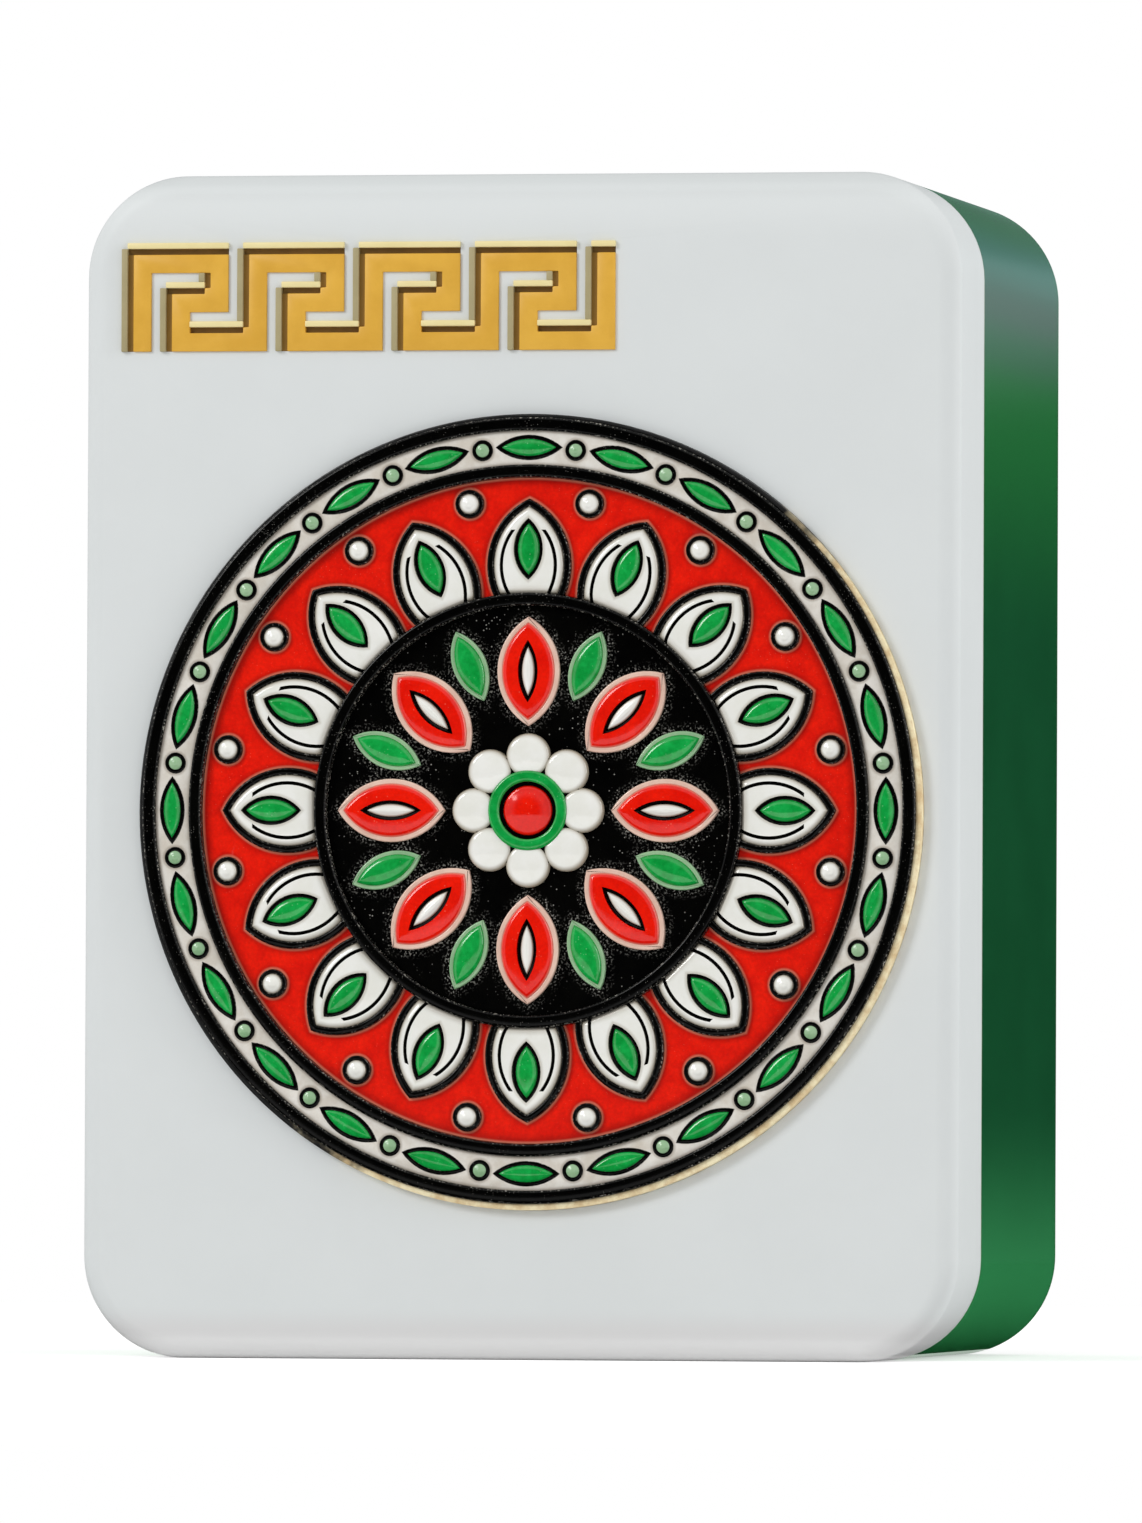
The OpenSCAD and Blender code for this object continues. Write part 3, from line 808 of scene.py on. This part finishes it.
# Finishes
def new_finish(name, roughness, specular, coat=0.0):
    """A material whose plain numbers are set on the shader itself."""
    finish = bpy.data.materials.new(name)
    finish.use_nodes = True
    shader = finish.node_tree.nodes["Principled BSDF"]
    shader.inputs["Roughness"].default_value = roughness
    shader.inputs["Specular IOR Level"].default_value = specular
    shader.inputs["Coat Weight"].default_value = coat
    shader.inputs["Coat Roughness"].default_value = 0.05
    return finish, finish.node_tree, shader


def give_surface(tree, shader, base, skin_size, wave):
    """Gives a shader its colour and a skin with waves of a size and height."""
    feed(tree, base, shader.inputs["Base Color"])
    node = add_node(tree, "ShaderNodeBump")
    node.inputs["Strength"].default_value = 1.0
    node.inputs["Distance"].default_value = wave
    feed(tree, placed_group(tree, skin, Size=skin_size)[0], node.inputs["Height"])
    feed(tree, node.outputs["Normal"], shader.inputs["Normal"])


def toned(tree, base, tone, spread):
    """Makes a colour up to a spread lighter or darker by a tone from 0 to 1."""
    shade = add_node(tree, "ShaderNodeCombineColor")
    light = calc(tree, "MULTIPLY_ADD", tone, 2 * spread, 1 - spread)
    for socket in shade.inputs[:3]:
        feed(tree, light, socket)
    return mix_colour(tree, 1.0, base, shade.outputs[0], "MULTIPLY")


MOTTLE_SIZE = 0.00012


def enamel(name, colour, deep, speck_colour, roughness, specular, coat=0.0, around=None, edge=None,
           speck_size=0.00006, speck_amount=0.35, speck_share=0.6, spread=1.0,
           tone_spread=0.0, cloud_size=0.0009, skin_size=0.00025, wave=0.0000012, mottle=0.0):
    """Cast resin enamel: cloudy colour, fine specks, a tone for each cell and a painted shade on rounded
    edges.
    """
    finish, tree, shader = new_finish(name, roughness, specular, coat)
    base = mix_colour(tree, placed_group(tree, clouds, Size=cloud_size)[0], colour, deep)
    if tone_spread:
        tone = add_node(tree, "ShaderNodeAttribute", attribute_name="tone")
        base = toned(tree, base, tone.outputs["Fac"], tone_spread)
    if mottle:
        base = toned(tree, base, placed_group(tree, clouds, Size=MOTTLE_SIZE)[0], mottle)
    dust = placed_group(tree, specks, Size=speck_size, Amount=speck_amount, Spread=spread)[0]
    base = mix_colour(tree, times(tree, dust, speck_share), base, speck_colour)
    if around:
        base = around(tree, base)
    # Painted shade: a deeper colour where the rounded edges turn away from the face
    if edge:
        edge_shade_colour, edge_shade_share, facing, steep = edge
        rim = placed_group(tree, turned_edge, Facing=facing, Edge=steep)[0]
        base = mix_colour(tree, times(tree, rim, edge_shade_share), base, edge_shade_colour)
    give_surface(tree, shader, base, skin_size, wave)
    return finish


def plain_finish(name, colour, deep, roughness, specular, cloud_size=0.004, skin_size=0.0006,
                 wave=0.0000008, around=None):
    """Gloss paint and moulded plastic: cloudy colour and a slight skin."""
    finish, tree, shader = new_finish(name, roughness, specular)
    base = mix_colour(tree, placed_group(tree, clouds, Size=cloud_size)[0], colour, deep)
    if around:
        base = around(tree, base)
    give_surface(tree, shader, base, skin_size, wave)
    return finish


# The finish of each slot. The edge colour of an enamel is painted shade on its rounded edges
finishes = {
    "white_plastic": plain_finish("White plastic", (222, 226, 226), (220, 224, 224),
                                  roughness=0.45, specular=0.15, around=white_with_painted_light),
    "green_plastic": plain_finish("Green plastic", (20, 92, 51), (16, 86, 46),
                                  roughness=0.16, specular=0.4, around=green_with_painted_light),
    "cream_resin": plain_finish("Cream resin", (252, 240, 200), (216, 188, 140), roughness=0.35, specular=0.4,
                                cloud_size=0.0005, skin_size=0.00012, wave=0.000006, around=black_on_upper_left),
    "black_enamel": enamel("Black enamel", (2, 2, 2), (5, 5, 4), (170, 168, 160),
                           roughness=0.15, specular=0.13, around=dust_and_highlight_on_edges,
                           speck_size=0.00007, speck_amount=0.3, spread=2.0),
    "ivory_enamel": enamel("Ivory enamel", (243, 243, 238), (236, 236, 228), (255, 255, 255),
                           roughness=0.12, specular=0.5, coat=0.3, around=painted_shade_on_buds,
                           edge=((160, 148, 126), 0.6, 0.9, 0.4), speck_share=0.15),
    "green_enamel": enamel("Green enamel", (22, 171, 75), (9, 150, 58), (160, 226, 180),
                           roughness=0.1, specular=0.6, edge=((6, 104, 42), 0.6, 0.7, 0.15),
                           speck_size=0.00009, tone_spread=0.06, cloud_size=0.0004, mottle=0.1),
    "pale_green_enamel": enamel("Pale green enamel", (156, 192, 150), (136, 178, 134), (225, 230, 215),
                                roughness=0.15, specular=0.5, coat=0.2, speck_share=0.3),
    "red_enamel": enamel("Red enamel", (243, 27, 5), (228, 18, 3), (248, 150, 124),
                         roughness=0.11, specular=0.42, around=painted_highlight_on_flower,
                         edge=((160, 10, 6), 0.5, 0.7, 0.2),
                         speck_size=0.00009, speck_share=0.7, mottle=0.07),
    "cream_enamel": enamel("Cream enamel", (236, 204, 186), (222, 184, 166), (255, 250, 240),
                           roughness=0.18, specular=0.5, coat=0.2, speck_share=0.2),
    "gold_fill": plain_finish("Gold paint", (230, 178, 66), (219, 166, 56), roughness=0.38, specular=0.3,
                              cloud_size=0.0016, skin_size=0.0002, wave=0.000002),
    # Painted shadow (umber, brown), painted highlight (pale gold) and painted shade (olive) of the key fret's
    # bevel
    "umber_fill": plain_finish("Umber paint", (125, 95, 40), (108, 81, 32),
                               roughness=0.55, specular=0.3, cloud_size=0.0012),
    "brown_fill": plain_finish("Brown paint", (152, 116, 48), (142, 108, 44),
                               roughness=0.55, specular=0.3, cloud_size=0.0012),
    "pale_gold_fill": plain_finish("Pale gold paint", (241, 226, 169), (236, 220, 160),
                                   roughness=0.4, specular=0.35, cloud_size=0.0012),
    "olive_fill": plain_finish("Olive paint", (175, 163, 124), (166, 154, 115),
                               roughness=0.5, specular=0.3, cloud_size=0.0012)}

# Finishes of pieces that look different from the others of their slot, and of the glue. The edge colour of
# the petal ivory is painted shade
black_ground = enamel("Black ground", (2, 2, 2), (5, 5, 4), (200, 198, 190),
                      roughness=0.2, specular=0.04, around=dust_on_black,
                      speck_size=0.00009, speck_amount=0.3, speck_share=0.8, spread=1.4)
petal_ivory = enamel("Petal ivory", (243, 243, 238), (236, 236, 228), (255, 255, 255),
                     roughness=0.12, specular=0.5, coat=0.3, around=painted_shade_on_petals,
                     edge=((160, 148, 126), 0.5, 0.9, 0.4), speck_share=0.15)
band_ivory = enamel("Band ivory", (236, 232, 224), (214, 206, 193), (252, 252, 248),
                    roughness=0.18, specular=0.5, coat=0.2, around=painted_shade_on_band, speck_share=0.4)
red_ground = enamel("Red ground", (245, 29, 5), (226, 19, 3), (250, 160, 134),
                    roughness=0.17, specular=0.26, around=painted_shade_and_highlight_on_red, speck_size=0.0001, speck_amount=0.5,
                    speck_share=0.75, cloud_size=0.0006, mottle=0.08, wave=0.000003)
bond_glue = plain_finish("Cured glue", (176, 188, 170), (160, 172, 156), roughness=0.3, specular=0.4)

# The fills of the key fret: their slots, and how far their edges are eased. The pale gold and olive edges are
# painted highlight and painted shade of the fret's bevel, lit above and shaded at the left, and the umber and
# brown steps are painted shadow within it
FRET = {"fret_gold": ("gold_fill", 0.03), "fret_dark_step": ("umber_fill", 0.0),
        "fret_brown_step": ("brown_fill", 0.0), "fret_light_edge": ("pale_gold_fill", 0.025),
        "fret_olive_edge": ("olive_fill", 0.025)}


# The two slabs
def block(name, depth, near, edge_r, edge_at_top):
    """A slab with rounded corners, lying flat with its outer face at one end rounded over."""
    bpy.ops.object.select_all(action="DESELECT")
    middle = (0, 0, near - depth / 2)
    bpy.ops.mesh.primitive_cube_add(size=1, location=middle, scale=(tile_w, tile_h, depth))
    piece = settled(name)
    open_mesh(piece)
    pick(piece, "EDGE", lambda edge: abs(edge.verts[0].co.z - edge.verts[1].co.z) > depth / 2)
    round_picked(corner_r, steps=24)
    outer = near if edge_at_top else near - depth
    pick(piece, "EDGE", lambda edge: lies_at(outer, edge))
    round_picked(edge_r, steps=12)
    pick(piece, "FACE", lambda side: lies_at(outer, side))
    bpy.ops.mesh.inset(thickness=slab_border, use_even_offset=True)
    close_mesh()
    return piece


face = block("Face_slab", face_d, 0, front_edge_r, edge_at_top=True)
seat_place = (medallion_x + casting_x, medallion_y + casting_y - tile_h / 2)
seat = disc("Seat", casting_r + seat_gap, -seat_depth, seat_place, steps=128)
cut(face, prism(seat, -seat_depth, clear_h))
for node in FRET:
    bar = from_node("Engraving", node)
    bar.matrix_world = FACE_PLACE.inverted()
    applied(bar)
    open_mesh(bar)
    pick(bar, "FACE", lambda side: side.normal.z > 0.9)
    bpy.ops.transform.translate(value=(0, 0, clear_h / 2))
    close_mesh()
    cut(face, bar)
stand(face, "face_slab", "white_plastic", place=FACE_PLACE, keep_flats=True)

back = block("Back_slab", back_d, -face_d - film_t, back_edge_r, edge_at_top=False)
stand(back, "back_slab", "green_plastic", place=FACE_PLACE, keep_flats=True)

for node in ("bond_film", "medallion_glue"):
    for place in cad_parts[node].material_slots:
        place.material = bond_glue

# The casting and the black rings
casting = disc("Casting", casting_r + casting_swell, lip_h, (casting_x, casting_y), ring_steps)
prism(casting, lip_h, glue_t - seat_depth)
cut(casting, prism(disc("Dish", enamel_r, -dish_depth, steps=ring_steps), -dish_depth, clear_h))
stand(eased(casting, 0.03), "medallion_casting", "cream_resin")

for name, outer, inner in (("Outer_rim", enamel_r, band_r), ("Middle_ring", middle_ring_r, red_field_r),
                           ("Inner_ring", inner_ring_r, black_field_r)):
    ring = round_band(name, outer, outer - inner, rim_h, rounding=0.09, steps=4)
    stand(ring, name.lower() + "_enamel", "black_enamel")


# The ivory band
def laid_along_band(piece):
    """Turns a lens across and moves it out to the middle of the ivory band."""
    open_mesh(piece)
    select_whole()
    bpy.ops.transform.rotate(value=pi / 2, orient_axis="Z", center_override=(0, 0, 0))
    bpy.ops.transform.translate(value=(0, band_middle_r, 0))
    close_mesh()
    return piece


band = round_band("Band", band_r, band_r - middle_ring_r, band_h, rounding=0.02, steps=2)
stand(band, "band_enamel", "ivory_enamel", band_ivory)

outline_h = band_h + outline_lift
bead_lines = lens_band("Band_outlines", bead_lens, fine_line_w, outline_h, rounding=0.03, steps=12)
laid_along_band(bead_lines)
pearl_lines = round_band("Pearl_outlines", pearl_d / 2 + fine_line_w, fine_line_w + lap, outline_h,
                         rounding=0.03, steps=2, middle_r=band_middle_r, around=24)
band_lines = joined([all_round(bead_lines, bead_count), all_round(pearl_lines, bead_count, 0.5)])
stand(band_lines, "band_outlines", "black_enamel")

bead = laid_along_band(lens_cell("Band_beads", bead_lens, steps=16, crown=0.02, rounding=0.15))
stand(all_round(bead, bead_count), "band_beads", "green_enamel", smooth_to=60)

pearl = round_cell("Band_pearls", pearl_d, band_middle_r, steps=24, crown=0.05, rounding=0.09)
stand(all_round(pearl, bead_count, 0.5), "band_pearls", "pale_green_enamel", smooth_to=60)

# The red field
red_field = eased(from_node("Red_field", "red_field_enamel"), 0.08 * MM, steps=3)
stand(red_field, "red_field_enamel", "red_enamel", red_ground, smooth_to=50, place=AS_PACKED, keep_flats=True)


def without_root(piece, fill):
    """Cuts a petal's piece off where it tucks under the inner ring."""
    open_mesh(piece)
    slice_off((0, root_cut_r, 0), (0, -1, 0), fill)
    close_mesh()
    return piece


def vein_pieces(name, top):
    """The two fine veins along the sides of a petal."""
    vein = lens_face(name, petal_lens, petal_steps, top, -vein_inset)
    open_mesh(vein)
    leave_border(fine_line_w)
    slice_off((0, root_cut_r, 0), (0, -1, 0))
    slice_off((0, vein_end_r, 0), (0, 1, 0))
    give_walls(-dish_depth - top)
    close_mesh()
    return vein


petal_lines = lens_band("Petal_outlines", petal_lens, line_w, line_h + outline_lift,
                        rounding=0.06, steps=petal_steps)
without_root(petal_lines, fill=True)
stand(all_round(petal_lines, petal_count), "petal_outlines", "black_enamel")

petal = without_root(lens_face("Ivory_petals", petal_lens, petal_steps, 0), fill=False)
puffed(petal, petal_w / 2, (petal_tip_r - root_cut_r) / 2, (petal_tip_r + root_cut_r) / 2,
       crown=0.05, rounding=0.24)
cut(petal, lens_groove("Heart_groove", heart_lens, fine_line_w, steps=14))
cut(petal, vein_pieces("Vein_groove", clear_h))
stand(all_round(petal, petal_count), "ivory_petals", "ivory_enamel", petal_ivory, smooth_to=50)

veins = vein_pieces("Petal_veins", line_h)
stand(all_round(veins, petal_count), "petal_veins", "black_enamel")

heart_lines = lens_band("Heart_outlines", heart_lens, fine_line_w, line_h,
                        rounding=0.03, steps=14, under=fine_lap)
stand(all_round(heart_lines, petal_count), "heart_outlines", "black_enamel")

heart = lens_cell("Green_hearts", heart_lens, steps=18, crown=0.02, rounding=0.17)
stand(all_round(heart, petal_count), "green_hearts", "green_enamel", smooth_to=60)

bud_outline_h = line_h + 0.02
bud_lines = round_band("Bud_outlines", bud_d / 2 + fine_line_w, fine_line_w + fine_lap, bud_outline_h,
                       rounding=0.04, middle_r=bud_r, around=32)
stand(all_round(bud_lines, petal_count, 0.5), "bud_outlines", "black_enamel")

bud = round_cell("Ivory_buds", bud_d, bud_r, steps=32, crown=0.06, rounding=0.18)
stand(all_round(bud, petal_count, 0.5), "ivory_buds", "ivory_enamel", smooth_to=60)

# The black field
black_field = eased(from_node("Black_field", "black_field_enamel"), 0.03 * MM)
stand(black_field, "black_field_enamel", "black_enamel", black_ground, smooth_to=50, place=AS_PACKED,
      keep_flats=True)

rims = lens_band("Flower_rims", flower_lens, petal_rim_w, line_h, rounding=0.05, steps=20)
stand(all_round(rims, flower_count), "flower_rims", "cream_enamel")

flower_petal = lens_cell("Flower_petals", flower_lens, petal_steps, crown=0.04, rounding=0.2)
cut(flower_petal, lens_groove("Drop_groove", drop_lens, fine_line_w, steps=12))
stand(all_round(flower_petal, flower_count), "flower_petals", "red_enamel", smooth_to=50)

drop_lines = lens_band("Drop_outlines", drop_lens, fine_line_w, line_h,
                       rounding=0.03, steps=10, under=fine_lap)
stand(all_round(drop_lines, flower_count), "drop_outlines", "black_enamel")

drop = lens_cell("Ivory_drops", drop_lens, steps=16, crown=0.06, rounding=0.09)
stand(all_round(drop, flower_count), "ivory_drops", "ivory_enamel", smooth_to=60)

leaf_rims = lens_band("Leaf_rims", leaf_lens, leaf_rim_w, line_h, rounding=0.04, steps=14)
stand(all_round(leaf_rims, flower_count, 0.5), "leaf_rims", "pale_green_enamel")

leaf = lens_cell("Green_leaves", leaf_lens, steps=20, crown=0.03, rounding=0.18)
stand(all_round(leaf, flower_count, 0.5), "green_leaves", "green_enamel", smooth_to=60)

# The centre
half_turn = pi / lobe_count
lobe = disc("Centre_lobes", lobe_r, 0, (0, lobe_place_r))
open_mesh(lobe)
for side in (1, -1):
    slice_off((side * fine_line_w / 2, 0, 0), (side * cos(half_turn), -sin(half_turn), 0))
slice_off((0, centre_ring_d / 2 - lobe_tuck, 0), (0, -1, 0))
close_mesh()
puffed(lobe, lobe_r, lobe_r, lobe_place_r, crown=0.06, rounding=0.18)
stand(all_round(lobe, lobe_count), "centre_flower", "ivory_enamel", smooth_to=50)

centre_lines = from_node("Centre_line_pieces", "centre_lines")
stand(centre_lines, "centre_lines", "black_enamel", place=AS_PACKED)

centre_ring_w = (centre_ring_d - dome_d) / 2 - fine_line_w
centre_ring = round_band("Centre_ring", centre_ring_d / 2, centre_ring_w, cell_h,
                         rounding=0.09, steps=4, around=64)
stand(centre_ring, "centre_ring", "green_enamel")

dome = round_cell("Centre_dome", dome_d, 0, steps=64, crown=0.12, rounding=0.12)
stand(dome, "centre_dome", "red_enamel", smooth_to=60)

# The key fret
for node, (slot, ease) in FRET.items():
    piece = from_node(node.capitalize() + "_piece", node)
    if ease:
        eased(piece, ease * MM)
    stand(piece, node, slot, place=AS_PACKED)

# Camera

PHOTO_W, PHOTO_H = 1142, 1523
SENSOR_W = 36
# Camera of the photograph, from the tile's outline: where it stands round the middle of the face,
# its distance, and the pixel of the photograph that its axis meets
camera_turn, camera_lift, camera_roll = radians(10.832), radians(-1.249), radians(0.244)
camera_distance = 555.2 * MM
pixels_per_metre = 29692.0
axis_pixel_x, axis_pixel_y = 517.95, 766.09

face_middle = Vector((0, face_y, (slab_low.z + slab_high.z) / 2))


def seen_from(turn, lift):
    """Direction from the tile to what stands at a turn to the right of its front and a lift above it."""
    return Vector((sin(turn) * cos(lift), -cos(turn) * cos(lift), sin(lift)))


backwards = seen_from(camera_turn, camera_lift)
rightwards = Vector((cos(camera_turn), sin(camera_turn), 0))
upwards = backwards.cross(rightwards)
rolled_right = rightwards * cos(camera_roll) + upwards * sin(camera_roll)
rolled_up = upwards * cos(camera_roll) - rightwards * sin(camera_roll)
focal_pixels = pixels_per_metre * camera_distance
# The axis is turned so that it meets the middle of the picture, so no lens shift is needed
swing = atan2(PHOTO_W / 2 - axis_pixel_x, focal_pixels)
tip = atan2(PHOTO_H / 2 - axis_pixel_y, focal_pixels)
axes = Matrix((rolled_right, rolled_up, backwards)).transposed()
axes = axes @ Matrix.Rotation(-swing, 3, "Y") @ Matrix.Rotation(-tip, 3, "X")
camera_data = bpy.data.cameras.new("Camera")
camera_data.sensor_fit = "HORIZONTAL"
camera_data.sensor_width = SENSOR_W
camera_data.lens = focal_pixels * SENSOR_W / PHOTO_W
camera_data.clip_start = 0.01
camera_data.clip_end = 20
camera = bpy.data.objects.new("Camera", camera_data)
camera.matrix_world = Matrix.Translation(face_middle + backwards * camera_distance) @ axes.to_4x4()
bpy.context.scene.collection.objects.link(camera)
bpy.context.scene.camera = camera


# Lamps and studio
def lamp(name, turn, lift, distance, size, power):
    """A square soft lamp that looks at the tile."""
    data = bpy.data.lights.new(name, "AREA")
    data.shape = "SQUARE"
    data.size = size
    data.energy = power
    out = seen_from(radians(turn), radians(lift))
    light = bpy.data.objects.new(name, data)
    turned = (-out).to_track_quat("-Z", "Y").to_matrix().to_4x4()
    light.matrix_world = Matrix.Translation(face_middle + out * distance) @ turned
    bpy.context.scene.collection.objects.link(light)


lamp("Key lamp", turn=-42, lift=27, distance=0.6, size=0.20, power=1.35)
lamp("Side lamp", turn=88, lift=14, distance=0.6, size=0.40, power=1.7)


def seen_rays(tree):
    """1 for the rays of the camera, of mirrors and of glass."""
    rays = add_node(tree, "ShaderNodeLightPath").outputs
    seen = calc(tree, "MAXIMUM", rays["Is Camera Ray"], rays["Is Glossy Ray"])
    return calc(tree, "MAXIMUM", seen, rays["Is Transmission Ray"])


# A white studio: as bright as the background where it is seen or mirrored, and a little softer as light
STUDIO_LIGHT = 0.62
world = bpy.data.worlds.new("Studio")
bpy.context.scene.world = world
world.use_nodes = True
tree = world.node_tree
tree.nodes.clear()
sky = add_node(tree, "ShaderNodeBackground")
sky.inputs["Color"].default_value = (1, 1, 1, 1)
brightness = calc(tree, "MULTIPLY_ADD", seen_rays(tree), 1 - STUDIO_LIGHT, STUDIO_LIGHT)
feed(tree, brightness, sky.inputs["Strength"])
feed(tree, sky.outputs[0], add_node(tree, "ShaderNodeOutputWorld").inputs[0])


def card(name, width, height, place, turn, lay, clear_share, tint=(1, 1, 1, 1)):
    """A black card that only the tile's gloss shows, and that lets a share of the white studio through."""
    finish = bpy.data.materials.new(name)
    finish.use_nodes = True
    tree = finish.node_tree
    tree.nodes.clear()
    both = add_node(tree, "ShaderNodeMixShader")
    dark = add_node(tree, "ShaderNodeBsdfDiffuse")
    dark.inputs["Color"].default_value = (0, 0, 0, 1)
    clear = add_node(tree, "ShaderNodeBsdfTransparent")
    clear.inputs["Color"].default_value = tint
    feed(tree, clear_share(tree, apart(tree, on_piece(tree))), both.inputs["Fac"])
    feed(tree, dark.outputs[0], both.inputs[1])
    feed(tree, clear.outputs[0], both.inputs[2])
    feed(tree, both.outputs[0], add_node(tree, "ShaderNodeOutputMaterial").inputs["Surface"])

    bpy.ops.object.select_all(action="DESELECT")
    bpy.ops.mesh.primitive_plane_add(size=1, location=(0, 0, 0))
    piece = settled(name)
    piece.scale = (width, height, 1)
    applied(piece)
    turned = Matrix.Rotation(radians(turn), 4, "Z") @ Matrix.Rotation(pi / 2 - radians(lay), 4, "X")
    piece.matrix_world = Matrix.Translation(place) @ turned
    piece.data.materials.append(finish)
    piece.visible_camera = False
    piece.visible_diffuse = False
    piece.visible_shadow = False
    piece.visible_transmission = False


def clear_round(tree, place):
    """Black in the middle, clear towards its rim."""
    return soft_step(tree, length_of(tree, place["X"], place["Y"]), 0.11, 0.24)


def clear_above(tree, place):
    """Black to a little above the tile's top, then dim, then nearly black."""
    rise = soft_step(tree, place["Y"], -0.0375, -0.0315)
    fall = soft_step(tree, place["Y"], -0.0165, -0.0235)
    return calc(tree, "MULTIPLY_ADD", rise, calc(tree, "MULTIPLY_ADD", fall, 0.2, 0.13), 0.01)


def clear_on_left(tree, place):
    """Black, and clear towards the left, so that no edge of it shows in the tile's left side."""
    return soft_step(tree, place["X"], -0.04, -0.13)


mirrored = Vector((-sin(camera_turn), -cos(camera_turn), 0.02))
card("Front card", 0.52, 0.52, face_middle + mirrored * 0.35, -degrees(camera_turn), 0, clear_round)
card("Back card", 0.34, 0.15, Vector((0.02, 0.13, 0.075)), 0, 0, clear_above, (0.7, 0.92, 1, 1))
card("Floor card", 0.30, 0.17, Vector((0.02, 0.045, 0.0002)), 0, 90, clear_on_left)

# Floor
bpy.ops.object.select_all(action="DESELECT")
bpy.ops.mesh.primitive_circle_add(vertices=128, radius=0.16, fill_type="NGON", location=(0, 0, 0))
floor = settled("Floor")
floor_finish, tree, shader = new_finish("Pale floor", 0.9, 0.0)
shader.inputs["Base Color"].default_value = (0.8, 0.8, 0.8, 1)
shader.inputs["Emission Color"].default_value = (1, 1, 1, 1)
feed(tree, times(tree, seen_rays(tree), 0.5), shader.inputs["Emission Strength"])
floor.data.materials.append(floor_finish)


def set_in_columns(tree):
    """Sets the nodes of a tree out in columns, from its result back to its sources."""
    column_w, row_h = 220, 190
    column = {node: 0 for node in tree.nodes}
    for _ in tree.nodes:
        for link in tree.links:
            column[link.from_node] = max(column[link.from_node], column[link.to_node] + 1)
    filled = {}
    for node, number in column.items():
        node.location = (-column_w * number, -row_h * filled.get(number, 0))
        filled[number] = filled.get(number, 0) + 1


for group in bpy.data.node_groups:
    set_in_columns(group)
for finish in (*bpy.data.materials, world):
    if finish.node_tree:
        set_in_columns(finish.node_tree)

bpy.context.scene.view_settings.view_transform = "Standard"
